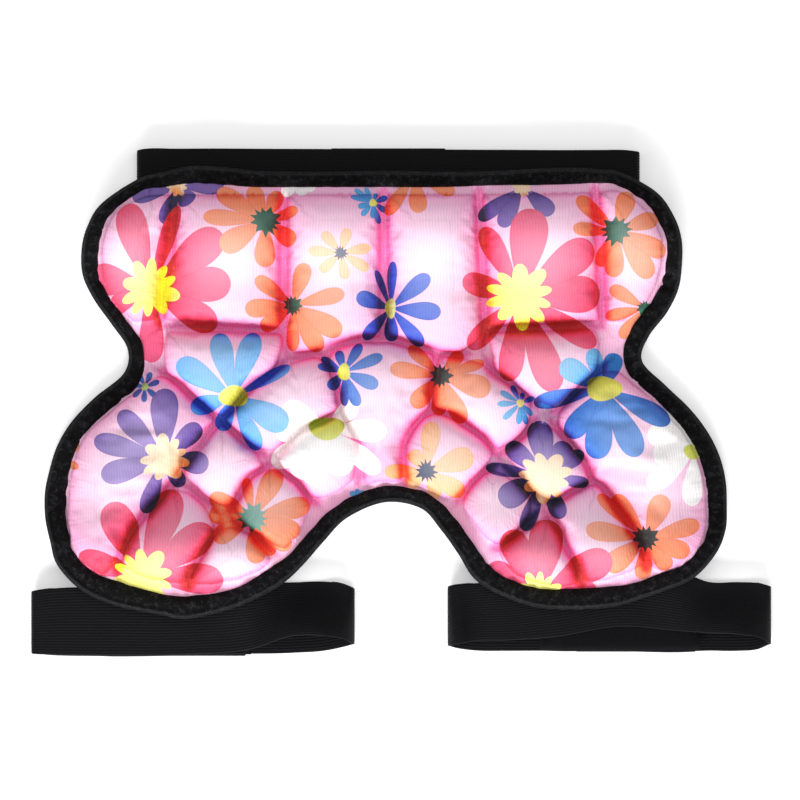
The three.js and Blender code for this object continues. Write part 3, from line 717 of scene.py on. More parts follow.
FLOWERS = [
    ("white", (-43.5, 110), 3, (222, 13, 3.2), (272, 9, 3), (320, 9, 3)),
    ("white", (159.5, -31), 6, (120, 24, 6), (155, 26.5, 6.5), (185, 22, 6), (217, 30.5, 5.5),
     (266, 28, 5.5)),
    ("tiny", (-6.5, 97), 2, (25, 8, 1.5), (72, 5.5, 1.2), (116, 9, 1.4), (142, 12, 1.5),
     (163, 12, 1.5), (197, 8, 1.6), (230, 9, 1.5), (270, 8, 1.5), (287, 11, 1.5), (330, 8, 1.5)),
    ("tiny", (69.5, -6), 2, (20, 8, 1.4), (72, 5.5, 1.3), (115, 10, 1.5), (150, 12, 1.6),
     (182, 12, 1.6), (223, 12, 1.7), (265, 11, 1.6), (287, 11.5, 1.6), (316, 9, 1.5)),
    ("tiny_dark", (-124.5, 2.5), 2, (20, 8, 1.5), (70, 8, 1.5), (120, 8, 1.5), (170, 8, 1.5),
     (220, 8, 1.5), (270, 8, 1.5), (320, 8, 1.5)),
    ("tiny", (-14.5, -56.5), 1.5, (60, 6, 1.4), (93, 6, 1.4), (128, 6, 1.4)),
    ("purple", (-107.5, 106), 5.5, (2, 24, 5), (194, 24, 5), (252, 21, 4), (306, 12, 5)),
    ("purple", (70.5, 105.5), 5, (217, 28, 4), (242, 24, 4.4), (316, 21, 4.8)),
    ("orange", (15, 112.5), 4, (236, 26, 3.6), (276, 21, 4.6), (333, 23, 3.6)),
    ("rose", (-121.5, 53), 15, (4, 42, 9), (37, 47, 9), (71, 45, 4), (105, 45, 8), (168, 33, 8),
     (205, 24, 5), (270, 38, 6.5), (330, 39, 7.5)),
    ("orange", (-61.5, 87.5), 8, (21, 17.5, 3), (68, 17, 4), (113, 20, 4.5), (147, 30, 5),
     (176, 32, 4.3), (212, 27, 6), (268, 23.5, 5.2), (323, 18.5, 4.5)),
    ("orange", (-48, 44.5), 5.5, (13, 27.5, 4.3), (72, 22.5, 4.6), (143, 23.5, 4),
     (185, 24.5, 4.8), (217, 20.5, 4), (270, 23.5, 3.5), (301, 27.5, 5), (330, 29, 5.5)),
    ("peach", (-23, 71), 4, (11, 15.5, 2.8), (73, 13, 2.8), (131, 14, 2.8), (176, 16.5, 2.8),
     (222, 14, 2.8), (280, 13.5, 2.8), (330, 16.5, 2.8)),
    ("rose", (-124.5, -95.5), 15.5, (36, 43, 8.5), (71, 47, 8.5), (115, 42, 8.5),
     (163, 35.5, 6.5), (358, 41, 8)),
    ("orange_dark", (134, -75.5), 7, (15, 28.5, 4.6), (67, 24, 5.6), (125, 27, 4), (138, 33, 3.5),
     (171, 31.5, 5), (217, 26, 6), (266, 21.5, 4.5), (307, 20, 4.5), (341, 23.5, 4.9)),
    ("rose", (69.5, 49), 17, (2, 41.5, 9.5), (36, 45.5, 8.8), (83, 45, 9.8), (119, 40.5, 5.5),
     (164, 31, 6), (225, 37.5, 5.5), (262, 44, 6.5), (290, 52, 8), (327, 46.5, 6)),
    ("orange", (118.5, 82.5), 8, (18, 23, 4.5), (72, 21.5, 5), (139, 26.5, 4.3),
     (177, 22.5, 3.6), (245, 19.5, 4), (268, 23.5, 4.7), (308, 30, 5.5), (336, 28.5, 5)),
    ("orange", (134, 43), 4.5, (149, 21, 3.6), (192, 20.5, 3.2), (231, 19.5, 3.5)),
    ("orange", (-170, -36), 4, (345, 12, 2), (40, 14, 2.5)),
    ("rose", (79, -105), 12.5, (5, 30, 6), (30, 42, 8.5), (83, 39, 9), (116, 37, 7.5),
     (150, 30, 6)),
    ("orange_pale", (-68.5, -65), 8.4, (13, 30, 5.5), (62, 27.5, 5.6), (101, 20.5, 3),
     (154, 25, 5), (176, 23, 5), (209, 23, 5), (276, 23.5, 5), (298, 22, 4), (320, 25, 5),
     (342, 25.5, 5.3)),
    ("orange_dark", (28.5, 8), 6.3, (18, 23.5, 3), (49, 16.5, 3.5), (137, 22.5, 3.5),
     (171, 26.5, 4.3), (227, 21.5, 4.8), (267, 20.5, 4), (296, 27, 4.6), (344, 26.5, 6)),
    ("peach", (21, -41), 6.2, (19, 25.5, 6.2), (83, 25.5, 5), (128, 13, 3.8), (181, 21.5, 3.8),
     (218, 12.5, 4), (293, 15.5, 3.5), (328, 23, 4.8)),
    ("white", (-30.5, -19), 9.1, (40, 20, 5), (152, 25, 6), (185, 26, 6),
     (214, 34, 6), (238, 30, 7), (254, 30, 7), (292, 26, 7), (320, 35.5, 5.5), (357, 31, 6)),
    ("sky", (-78.5, -2.5), 7.3, (28, 33, 3.2), (71, 34.5, 5.8), (104, 33.5, 5.8),
     (148, 34, 6.5), (196, 23, 5), (248, 19, 4.5), (295, 30.5, 4.8), (331, 32, 7)),
    ("small_blue", (-21.5, 10), 3.3, (23, 21.5, 3), (59, 17, 2.6), (105, 11.5, 2.4),
     (148, 14, 2), (166, 14, 2), (228, 11.5, 3), (271, 17.5, 2.2), (293, 19, 3.1),
     (338, 19, 3.7)),
    ("blue", (2.5, 43), 2.8, (40, 26, 4.4), (87, 24, 2.5), (111, 21, 1.8), (160, 18.5, 4.2),
     (229, 21, 3.2), (272, 17, 3.6), (311, 25.5, 3.6), (355, 26, 4.7)),
    ("purple", (-114, -34.5), 12.2, (44, 25, 5), (90, 36, 7.2), (134, 33.5, 5.5),
     (165, 37.5, 5.6), (196, 33.5, 6.2), (249, 30.5, 4.2), (300, 17, 4), (352, 23, 5.8)),
    ("purple", (82.5, -44), 13.4, (32, 23.5, 4), (55, 21, 6), (97, 29, 6.6), (139, 26, 5),
     (171, 31, 3.4), (208, 27, 6.8), (248, 30, 4.5), (291, 23, 4.5), (351, 23, 3.2)),
    ("azure", (112.5, 1.5), 9.1, (107, 21.5, 4.6), (150, 26, 6)),
    ("cobalt", (112.5, 1.5), 9.1, (68, 19.5, 5), (192, 36.5, 4.6), (234, 31, 6), (264, 36.5, 7),
     (297, 39, 6.7), (333, 38.5, 5.6)),
]


def petals_of(flowers):
    """Each petal as start, end, half its width and its colour."""
    rows = []
    for look, middle, _, *rays in flowers:
        for angle, long, wide in rays:
            turn = math.radians(angle)
            tip = (middle[0] + long * math.cos(turn), middle[1] + long * math.sin(turn))
            rows.append((*middle, *tip, wide, LOOKS[look][0]))
    return rows


petals = petals_of(FLOWERS)
print(len(FLOWERS), "flowers,", len(petals), "petals")

# %% [markdown]
# A shader that asked every point about every petal would be slow. A face of the cover is
# smaller than a petal, so each face is told which few petals and which middle reach it, and
# the shader draws only those, as sharp as if it had the whole print.

# %% Lay the print on the faces
SLOTS = 4
REACH = 2.0
MIDDLE_REACH = 1.3
NOWHERE = -50.0
PETAL_FULL = 1.83
PETAL_ROOT = 1.0
PETAL_TIP = 2.6


def petal_width(s):
    """Half a petal's width along it, as a share of its widest."""
    s = np.clip(s, 0, 1)
    return PETAL_FULL * s**PETAL_ROOT * np.sqrt(np.clip(1 - s**PETAL_TIP, 0, 1))


def face_middles(obj):
    middles = np.empty(len(obj.data.polygons) * 3)
    obj.data.polygons.foreach_get("center", middles)
    return charted(middles.reshape(-1, 3))


def petal_gap(where, petal):
    """How far outside a petal each point is, in millimetres."""
    start, end = np.array(petal[:2]), np.array(petal[2:4])
    long = np.linalg.norm(end - start)
    run = (end - start) / long
    offset = where - start
    s = offset @ run / long
    side = np.abs(offset[:, 0] * run[1] - offset[:, 1] * run[0])
    over = np.maximum(np.maximum(s - 1, -s), 0) * long
    return np.hypot(side, over) - petal[4] * petal_width(s)


where = face_middles(cover)
every_face = np.arange(len(where))
gaps = np.array([petal_gap(where, petal) for petal in petals])
best = np.sort(np.argsort(gaps, axis=0)[:SLOTS], axis=0)
petal_rows = np.array([petal[:5] for petal in petals])
petal_colours = np.array([petal[5] for petal in petals])
for slot, chosen in enumerate(best):
    rows = petal_rows[chosen]
    rows[gaps[chosen, every_face] >= REACH, 4] = NOWHERE
    keep(cover, "FACE", **{
        f"petal_start_{slot}": rows[:, [0, 1, 4]],
        f"petal_end_{slot}": np.column_stack([rows[:, 2:4], np.zeros(len(rows))]),
        f"petal_colour_{slot}": petal_colours[chosen],
    })

middles = np.array([flower[1] for flower in FLOWERS], float)
sizes = np.array([flower[2] for flower in FLOWERS], float)
looks = [LOOKS[flower[0]] for flower in FLOWERS]
shapes = np.array([(wave, rays / 2, oval) for _, _, wave, rays, oval in looks])
tints = np.array([look[1] for look in looks])
gap = np.linalg.norm(where[:, None, :] - middles[None, :, :], axis=2) - sizes * MIDDLE_REACH
nearest = np.argmin(gap, axis=1)
radius = np.where(gap[every_face, nearest] > REACH, NOWHERE, sizes[nearest])
keep(cover, "FACE", disc=np.column_stack([middles[nearest], radius]),
     disc_shape=shapes[nearest], disc_colour=tints[nearest])
print("print laid on", len(where), "faces")

# %% [markdown]
# The print is read in the cloth's own flat millimetres, kept in a UV map, so it stays with the
# cloth in every view. Next to it the cover keeps how near each point is to a seam, and how near
# to the valley between two pillows: painted shade darkens the colour there, but not on the flat
# margins.

# %% Cloth coordinates
SEAM_GRAIN = 0.3
SEAM_REACH = 14.0
INSIDE_STEP = 1.0


def flat_map(obj):
    """A UV map of the cloth's flat place, as shares of the pad's size."""
    layer = obj.data.uv_layers.new(name="cloth")
    corner = np.empty(len(obj.data.loops), int)
    obj.data.loops.foreach_get("vertex_index", corner)
    share = charted(coordinates(obj.data)) / np.array(PAD_SIZE) + 0.5
    layer.data.foreach_set("uv", share[corner].astype(np.float32).ravel())


flat_map(cover)
cover_points = charted(coordinates(cover.data))
seam_gaps = np.full((len(pillow_loops), len(cover_points)), SEAM_REACH)
seam_places = np.zeros_like(seam_gaps)
on_pillow = np.zeros(len(cover_points), bool)
for k, loop in enumerate(pillow_loops):
    close = np.all(cover_points > loop.min(axis=0) - SEAM_REACH, axis=1)
    close &= np.all(cover_points < loop.max(axis=0) + SEAM_REACH, axis=1)
    seam_gaps[k, close], seam_places[k, close] = reach_to(cover_points[close], loop, SEAM_GRAIN)
    on_pillow |= is_inside(cover_points, evenly(loop, INSIDE_STEP))
order = np.argsort(seam_gaps, axis=0)[:2]
every_point = np.arange(len(cover_points))
seam_gap, next_gap = seam_gaps[order[0], every_point], seam_gaps[order[1], every_point]
valley_gap = np.maximum(np.where(on_pillow, seam_gap, 0), next_gap - TOP_SEAM_WIDTH)
keep(cover, "POINT", seam_gap=seam_gap, seam_place=seam_places[order[0], every_point],
     valley_gap=np.maximum(valley_gap, 0), on_pillow=on_pillow)
print("nearest seam known for", len(cover_points), "points")

# %% [markdown]
# Materials are built from nodes. These helpers make a node, set what it is given and wire
# what comes from other nodes, so that each finish below reads as a recipe.

# %% Helpers for materials
def new_material(name):
    material = bpy.data.materials.new(name)
    material.use_nodes = True
    return material, material.node_tree, material.node_tree.nodes["Principled BSDF"]


def feed(socket, value):
    """Wires a socket to another node's output, or sets it to a value."""
    if isinstance(value, bpy.types.NodeSocket):
        socket.id_data.links.new(value, socket)
    else:
        socket.default_value = value


def tree_of(inputs):
    """The node tree of the first input that is another node's output."""
    return next(value.id_data for value in inputs if isinstance(value, bpy.types.NodeSocket))


def add(tree, kind, *inputs, **settings):
    """A new node: its settings, then its inputs as values or as other nodes' outputs."""
    node = tree.nodes.new(kind)
    for key, value in settings.items():
        setattr(node, key, value)
    for number, value in enumerate(inputs):
        feed(node.inputs[number], value)
    return node


def maths(operation, *inputs, clamp=False):
    node = add(tree_of(inputs), "ShaderNodeMath", *inputs, operation=operation, use_clamp=clamp)
    return node.outputs[0]


def times(first, second):
    return maths("MULTIPLY", first, second)


def minus(first, second, clamp=False):
    return maths("SUBTRACT", first, second, clamp=clamp)


def scaled(value, factor, start, clamp=False):
    """The value times a factor, counted from a start."""
    return maths("MULTIPLY_ADD", value, factor, start, clamp=clamp)


def hypotenuse(first, second):
    return maths("SQRT", maths("ADD", times(first, first), times(second, second)))


def vectors(operation, *inputs):
    node = add(tree_of(inputs), "ShaderNodeVectorMath", *inputs, operation=operation)
    return node.outputs["Value" if operation in ("LENGTH", "DOT_PRODUCT") else "Vector"]


def parts(vector):
    return add(vector.id_data, "ShaderNodeSeparateXYZ", vector).outputs[:3]


def read(tree, name, output="Vector"):
    return add(tree, "ShaderNodeAttribute", attribute_name=name).outputs[output]


def mixed(share, first, second):
    node = add(tree_of((share, first, second)), "ShaderNodeMix", data_type="RGBA")
    for number, value in ((0, share), (6, first), (7, second)):
        feed(node.inputs[number], value)
    return node.outputs[2]


def noise(vector, scale, detail=2.0, roughness=0.5):
    node = vector.id_data.nodes.new("ShaderNodeTexNoise")
    named = {"Vector": vector, "Scale": scale, "Detail": detail, "Roughness": roughness}
    for name, value in named.items():
        feed(node.inputs[name], value)
    return node.outputs[0]


def bumped(height, distance, strength, normal=None):
    """A surface bumped by a height, on top of another bump if there is one."""
    node = height.id_data.nodes.new("ShaderNodeBump")
    for name, value in {"Height": height, "Distance": distance, "Strength": strength}.items():
        feed(node.inputs[name], value)
    if normal is not None:
        feed(node.inputs["Normal"], normal)
    return node.outputs["Normal"]


def finish(shader, colour, normal, looks):
    """Gives a shader its colour, its bumps and the constants on its own sockets."""
    for name, value in {"Base Color": colour, "Normal": normal, **looks}.items():
        feed(shader.inputs[name], value)


# %% [markdown]
# The printed knit. Petals and middles are mixed over the pale pink ground one by one. Then a
# painted highlight pales the crowns, and painted shade darkens the valleys, the seams and the
# slopes with a gamma that also makes them richer. The knit's fine upright ribs and the puckers
# beside each seam go in as bumps; painted shade also darkens the ribs' troughs.

# %% Printed cloth
GROUND = srgb(252, 192, 225)
# The white of the painted highlight on the crowns, also used for the random mottle.
HIGHLIGHT_AND_MOTTLE_WHITE = srgb(255, 250, 254)
# How sharp ink ends, per millimetre, and where a petal's darker rim gives way to its dye.
INK_SHARP = 2.2
RIM_SOFT, RIM_START = 1.6, -0.4
PETAL_RIM = 1.18
# How unevenly a flower's middle is drawn.
RAY_SWAY, RAY_SWAYS = 0.14, 2.0
RIM_UNEVEN, RIM_WAVES = 0.07, 3.0
# Painted shade that darkens the dye in the valleys, along the seams and towards each pillow's
# edge, and a painted highlight that pales it on the crowns.
VALLEY_WIDTH, VALLEY_FALL = 1.5, 1.5
VALLEY_SHADE = 1.5
PETAL_VALLEY_SHADE = 1.2
SLOPE_SHADE, SLOPE_FALL = 1.35, 1.4
EDGE_LINE, SEAM_LINE_SHADE = 0.55, 1.0
GROUND_HIGHLIGHT, DYE_HIGHLIGHT, HIGHLIGHT_FALL = 0.42, -0.26, 3.0
MOTTLE, MOTTLE_SCALE = 0.05, 0.35
# The knit's ribs and stitches, and the puckers beside the seams. The ribs also darken the
# colour in their troughs as painted shade.
RIB_PITCH, RIB_PAINTED_SHADE = 1.5, 0.05
RIB_DRIFT, RIB_DRIFT_SCALE = 5.0, 0.06
STITCHES = (2.2, 0.9, 1.0)
RIB_HIGH, STITCH_HIGH = 0.5, 0.6
PUCKERS_ALONG, PUCKERS_ACROSS, PUCKER_REACH = 0.2, 0.03, 7.0
PUCKER_BUMP = (0.0022, 0.55)
KNIT_BUMP = (0.00016, 0.42)

cloth, tree, shader = new_material("printed_knit")
uv = add(tree, "ShaderNodeUVMap", uv_map="cloth").outputs[0]
here = vectors("SUBTRACT", uv, (0.5, 0.5, 0.0))
here = vectors("MULTIPLY", here, (PAD_SIZE[0], PAD_SIZE[1], 0.0))


def petal_mask(here, slot):
    """Where a slot's petal is, and where it is without its rim."""
    tree = here.id_data
    x, y, half_width = parts(read(tree, f"petal_start_{slot}"))
    root = add(tree, "ShaderNodeCombineXYZ", x, y).outputs[0]
    run = vectors("SUBTRACT", read(tree, f"petal_end_{slot}"), root)
    long = vectors("LENGTH", run)
    way = vectors("NORMALIZE", run)
    offset = vectors("SUBTRACT", here, root)
    along = maths("DIVIDE", vectors("DOT_PRODUCT", offset, way), long)
    side = vectors("LENGTH", vectors("CROSS_PRODUCT", offset, way))
    s = maths("ADD", along, 0.0, clamp=True)
    over = times(minus(along, s), long)
    blunt = minus(1.0, maths("POWER", s, PETAL_TIP), clamp=True)
    width = times(maths("POWER", s, PETAL_ROOT), maths("SQRT", blunt))
    width = times(width, times(half_width, PETAL_FULL))
    inside = minus(width, hypotenuse(side, over))
    return (scaled(inside, INK_SHARP, 0.5, clamp=True),
            scaled(inside, RIM_SOFT, RIM_START, clamp=True))


colour, on_petal = GROUND, 0.0
for slot in range(SLOTS):
    mask, inner = petal_mask(here, slot)
    dye = read(tree, f"petal_colour_{slot}", "Color")
    rim = add(tree, "ShaderNodeGamma", dye, PETAL_RIM).outputs[0]
    colour = mixed(mask, colour, mixed(inner, rim, dye))
    on_petal = maths("MAXIMUM", on_petal, mask)

spot_x, spot_y, spot_radius = parts(read(tree, "disc"))
waves, half_rays, oval = parts(read(tree, "disc_shape"))
here_x, here_y, _ = parts(here)
across = minus(here_x, spot_x)
up = maths("DIVIDE", minus(here_y, spot_y), oval)
turn = maths("ARCTAN2", up, across)
sway = maths("SINE", scaled(turn, RAY_SWAYS, spot_x))
wave = maths("ABSOLUTE", maths("SINE", times(scaled(sway, RAY_SWAY, turn), half_rays)))
ray = scaled(wave, waves, minus(1.0, maths("MAXIMUM", waves, 0.0)))
slow = maths("SINE", scaled(turn, RIM_WAVES, spot_y))
edge = times(times(spot_radius, ray), scaled(slow, RIM_UNEVEN, 1.0))
disc_mask = scaled(minus(edge, hypotenuse(across, up)), INK_SHARP, 0.5, clamp=True)
colour = mixed(disc_mask, colour, read(tree, "disc_colour", "Color"))
on_petal = maths("MAXIMUM", on_petal, disc_mask)

crown = read(tree, "crown", "Fac")
# Painted shade: a gamma darkens and enriches the colour in the valleys, in a line along the seam,
# and towards each pillow's edge.
seam = read(tree, "seam_gap", "Fac")
valley = maths("DIVIDE", read(tree, "valley_gap", "Fac"), VALLEY_WIDTH)
valley = maths("EXPONENT", times(maths("POWER", valley, VALLEY_FALL), -1.0))
shade_gamma = scaled(valley, scaled(on_petal, PETAL_VALLEY_SHADE, VALLEY_SHADE), 1.0)
line = times(minus(1.0, maths("DIVIDE", seam, EDGE_LINE), clamp=True), valley)
shade_gamma = scaled(line, SEAM_LINE_SHADE, shade_gamma)
slope = maths("POWER", minus(1.0, crown, clamp=True), SLOPE_FALL)
shade_gamma = scaled(times(slope, read(tree, "on_pillow", "Fac")), SLOPE_SHADE, shade_gamma)
# Painted highlight: the crowns are paled towards white.
crown_highlight = times(maths("POWER", crown, HIGHLIGHT_FALL), scaled(on_petal, DYE_HIGHLIGHT, GROUND_HIGHLIGHT))
colour = add(tree, "ShaderNodeGamma", mixed(crown_highlight, colour, HIGHLIGHT_AND_MOTTLE_WHITE), shade_gamma).outputs[0]
colour = mixed(times(noise(here, MOTTLE_SCALE, 4.0), MOTTLE), colour, HIGHLIGHT_AND_MOTTLE_WHITE)

drift = times(noise(here, RIB_DRIFT_SCALE), RIB_DRIFT)
ribs = maths("SINE", times(maths("ADD", here_x, drift), 2 * math.pi / RIB_PITCH))
# Painted shade: the colour is a little darker in the ribs' troughs.
colour = vectors("MULTIPLY", colour, scaled(ribs, RIB_PAINTED_SHADE, 1 - RIB_PAINTED_SHADE))
stitch = noise(vectors("MULTIPLY", here, STITCHES), 1.0, 3.0)
knit = scaled(ribs, RIB_HIGH, times(stitch, STITCH_HIGH))
pucker_at = add(tree, "ShaderNodeCombineXYZ",
                times(read(tree, "seam_place", "Fac"), PUCKERS_ALONG),
                times(seam, PUCKERS_ACROSS)).outputs[0]
pucker = times(noise(pucker_at, 1.0, 3.0),
               maths("EXPONENT", maths("DIVIDE", seam, -PUCKER_REACH)))
finish(shader, colour, bumped(knit, *KNIT_BUMP, bumped(pucker, *PUCKER_BUMP)), {
    "Roughness": 0.62, "Sheen Weight": 0.12, "Sheen Roughness": 0.4, "Specular IOR Level": 0.35,
})
cover.data.materials.append(cloth)

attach(cover, "root")
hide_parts("quilted_pad")
print("printed cloth has", len(tree.nodes), "nodes")

# %% [markdown]
# The plain cloth behind. It lies flat between the tape's two flaps, stretched over the foam's
# underside. It is made as one sheet with a real thickness, because it closes the pad.

# %% Rear cloth
REAR_INSET = 1.5
REAR_EDGE_STEP = 3.5
REAR_STEP = 6.0
rear_edge = evenly(edge_loop[:, :2] + edge_inward * REAR_INSET, REAR_EDGE_STEP)
low_points, low_faces = back_sheet(rear_edge, REAR_STEP, REAR_LOW)
high_points = low_points + np.array([0, 0, REAR_THICK])
count = len(low_points)
ring = edge_ring(low_points, rear_edge)
walls = [(a, b, count + b, count + a) for a, b in steps_round(ring)]
rear = mesh_object(
    "rear_sheet",
    placed(np.vstack([low_points, high_points])),
    [tuple(f[::-1]) for f in low_faces] + walls + [tuple(count + f) for f in low_faces],
)
finish_mesh(rear)
flat_map(rear)
plain, tree, shader = new_material("plain_knit")
where_on = add(tree, "ShaderNodeTexCoord").outputs["Object"]
fine = noise(vectors("MULTIPLY", where_on, (1.0, 0.35, 1.0)), 2600.0, 3.0)
tint = mixed(noise(where_on, 40.0, 3.0), srgb(24, 24, 26), srgb(36, 36, 39))
finish(shader, tint, bumped(fine, 0.0003, 0.6), {"Roughness": 0.85, "Sheen Weight": 0.2})
rear.data.materials.append(plain)
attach(rear, "root")
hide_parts("rear_cloth")

# %% [markdown]
# The binding. It is a brushed tape folded round the edge: a flap above, a rolled fold and a
# flap below. It is lofted from one section along the outline. Where the edge bends, the inner
# side of the tape is too long and gathers, so the section waves more where it turns.

# %% Edge tape
RIPPLE_TERMS = 18
BEND_SPAN = 15
SHARPEST_BEND = 0.035
LEAST_GATHER = 0.25
INNER_RIPPLE = 0.32
GATHER_HIGH, LUMP_HIGH, JOIN_HIGH = 0.36, 0.18, 0.9
JOIN_FROM, JOIN_TO = 2.0, 7.8
SECTION_WIDE = 10.0
FOLD_RIDGE = 3
TAPE_SECTION = [
    # in from the edge, height, how much the gathers move it, how far it follows the width
    (0.0, 3.3, 0.0, 0.0), (0.15, 4.7, 0.1, 0.0), (0.7, 6.0, 0.15, 0.0), (1.6, 6.95, 0.2, 0.0),
    (2.5, 7.1, 0.25, 0.0), (3.3, 6.75, 0.3, 0.05), (4.1, 6.85, 0.5, 0.3), (5.2, 7.15, 0.7, 0.5),
    (6.4, 7.2, 0.9, 0.65), (7.6, 7.0, 1.0, 0.8), (8.8, 6.5, 1.0, 0.92), (9.6, 5.9, 0.8, 1.0),
    (10.0, 5.4, 0.5, 1.0), (9.8, 5.15, 0.2, 1.0), (6.0, 5.2, 0.0, 0.6), (2.2, 5.25, 0.0, 0.0),
    (1.3, 3.3, 0.0, 0.0), (2.2, 1.3, 0.0, 0.0), (6.0, 1.25, 0.0, 0.6), (9.8, 1.2, 0.0, 1.0),
    (10.0, 0.7, 0.0, 1.0), (9.6, 0.15, 0.0, 1.0), (6.0, 0.0, 0.0, 0.6), (2.5, 0.0, 0.0, 0.0),
    (0.9, 0.5, 0.0, 0.0), (0.2, 1.7, 0.0, 0.0),
]
random.seed(7)


def wavy(stations, low, high):
    """An even ripple that closes on itself round a loop."""
    at = np.arange(stations) / stations * 2 * math.pi
    total = np.zeros(stations)
    for _ in range(RIPPLE_TERMS):
        total += np.sin(at * random.randint(low, high) + random.uniform(0, 2 * math.pi))
    return total / math.sqrt(RIPPLE_TERMS / 2)


def lofted(rings, closed=False):
    """Points and faces of rings joined one by one: closed round, or with a face at each end."""
    count, sides = rings.shape[:2]
    faces = []
    if not closed:
        faces = [tuple(range(sides)), tuple(range((count - 1) * sides, count * sides))[::-1]]
    around = steps_round([*range(sides)])
    for i in range(count if closed else count - 1):
        near, far = i * sides, (i + 1) % count * sides
        faces += [(near + k, near + j, far + j, far + k) for k, j in around]
    return placed(rings.reshape(-1, 3)), faces


stations = len(edge_loop)
bend = np.abs(np.gradient(np.unwrap(np.arctan2(edge_inward[:, 1], edge_inward[:, 0]))))
kernel = np.hanning(2 * BEND_SPAN + 1)
kernel /= kernel.sum()
bend = np.convolve(np.r_[bend[-BEND_SPAN:], bend, bend[:BEND_SPAN]], kernel, "valid")
gather = np.clip(bend / SHARPEST_BEND, LEAST_GATHER, 1.0)
gathers = wavy(stations, 90, 190) * gather
lumps = wavy(stations, 25, 80)
inner_ripple = wavy(stations, 60, 140) * gather
edge_x, edge_y, tape_wide = edge_loop.T
join = ((edge_x > JOIN_FROM) & (edge_x < JOIN_TO) & (edge_y > 0)).astype(float)
lift = GATHER_HIGH * gathers + LUMP_HIGH * lumps + JOIN_HIGH * join
rings = []
for into, height, wave, follows in TAPE_SECTION:
    ripple = wave * follows * INNER_RIPPLE * inner_ripple
    depth = into + follows * (tape_wide - SECTION_WIDE) + ripple
    xy = edge_loop[:, :2] + edge_inward * depth[:, None]
    rings.append(np.column_stack([xy, height + rise(edge_y) + wave * lift]))
tape = mesh_object("bound_edge", *lofted(np.stack(rings, axis=1), closed=True))
keep(tape, "POINT", ridge=[k == FOLD_RIDGE for k in range(len(TAPE_SECTION))] * stations)
finish_mesh(tape)
print("tape", len(tape.data.polygons), "faces")

# %% [markdown]
# The tape's finish. It is matt, and its brushed surface catches light only on its tufts, so one
# noise makes the fuzz and a coarser one clumps it. Where they peak the colour is lighter: partly
# the fibres' own mottle, partly painted glints on the tufts. The ridge of the fold gets a painted
# highlight, a lighter grey line.

# %% Brushed tape
FUZZ_SCALE, CLUMP_SCALE = 1500.0, 320.0
FLECK_AND_GLINT, FLECK_AND_GLINT_START = 4.0, -4.1
CLUMP_HIGH = 1.6
RIDGE_HIGHLIGHT = 0.9
brushed, tree, shader = new_material("brushed_tape")
where_on = add(tree, "ShaderNodeTexCoord").outputs["Object"]
fuzz = noise(where_on, FUZZ_SCALE, 4.0, 0.7)
clumps = noise(where_on, CLUMP_SCALE, 3.0, 0.6)
# Lighter flecks where the fuzz and clumps peak: partly the fibres' own mottle, partly painted
# glints on the tufts.
fleck_and_glint = scaled(maths("ADD", fuzz, clumps), FLECK_AND_GLINT, FLECK_AND_GLINT_START, clamp=True)
tint = mixed(fleck_and_glint, srgb(6, 6, 7), srgb(44, 44, 47))
# Painted highlight: a lighter grey line along the fold's ridge.
ridge_highlight = times(read(tree, "ridge", "Fac"), times(fuzz, RIDGE_HIGHLIGHT))
tint = mixed(ridge_highlight, tint, srgb(52, 52, 55))
finish(shader, tint, bumped(scaled(clumps, CLUMP_HIGH, fuzz), 0.0007, 0.9), {
    "Roughness": 0.95, "Specular IOR Level": 0.12, "Sheen Weight": 0.12, "Sheen Roughness": 0.5,
    "Sheen Tint": (0.3, 0.3, 0.32, 1),
})
tape.data.materials.append(brushed)
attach(tape, "root")
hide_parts("edge_binding")
print("brushed tape done")

# %% [markdown]
# The elastic loops. Each is one woven band that lies flat as a closed loop: back layer, fold,
# front layer, fold, and its two ends on each other. The band is lofted along that path, and
# its ribs are real ridges, because they catch the light from every side.

# %% Elastic bands
PATCH_THICK = 1.8
PATCH_MARGIN = 3.0
PATCH_RAMP = 12.0
STRAP_WIDTH = 35.0
BELT_WIDTH = 40.0
STRAP_SPAN = 168.0
BELT_SPAN = 261.0
BELT_SHOW = 9.0
# Columns: place as a share of half the span, then the back layer's low edge, the front
# layer's low and high edges and how far the low edge stands up, as shares of the width.
LEFT_ROWS = [
    (-1, -0.46, -0.46, 0.46, 0), (-0.9, -0.49, -0.47, 0.5, 0), (-0.63, -0.505, -0.48, 0.53, 0),
    (0, -0.49, -0.465, 0.52, 0), (0.35, -0.474, -0.4, 0.58, 0),
    (0.62, -0.46, -0.18, 0.6, 0.28), (0.8, -0.43, -0.17, 0.61, 0.34),
    (0.93, -0.37, -0.23, 0.57, 0.16), (1, -0.33, -0.33, 0.5, 0),
]
RIGHT_ROWS = [
    (-1, -0.42, -0.42, 0.46, 0), (-0.94, -0.46, -0.38, 0.49, 0.12),
    (-0.86, -0.49, -0.35, 0.51, 0.04), (-0.62, -0.5, -0.33, 0.55, 0),
    (-0.33, -0.5, -0.28, 0.7, 0), (0.06, -0.5, -0.13, 0.85, 0),
    (0.42, -0.515, -0.19, 0.72, 0.02), (0.6, -0.5, -0.21, 0.54, 0.22),
    (0.8, -0.5, -0.23, 0.53, 0.26), (0.93, -0.47, -0.29, 0.51, 0.12),
    (1, -0.4, -0.4, 0.46, 0),
]
BELT_ROWS = [
    (-1, -0.49, -0.49, 0.47, 0), (-0.95, -0.5, -0.5, 0.49, 0), (-0.85, -0.5, -0.5, 0.49, 0),
    (0, -0.5, -0.5, 0.48, 0), (0.85, -0.5, -0.5, 0.47, 0), (0.95, -0.5, -0.5, 0.47, 0),
    (1, -0.49, -0.49, 0.45, 0),
]
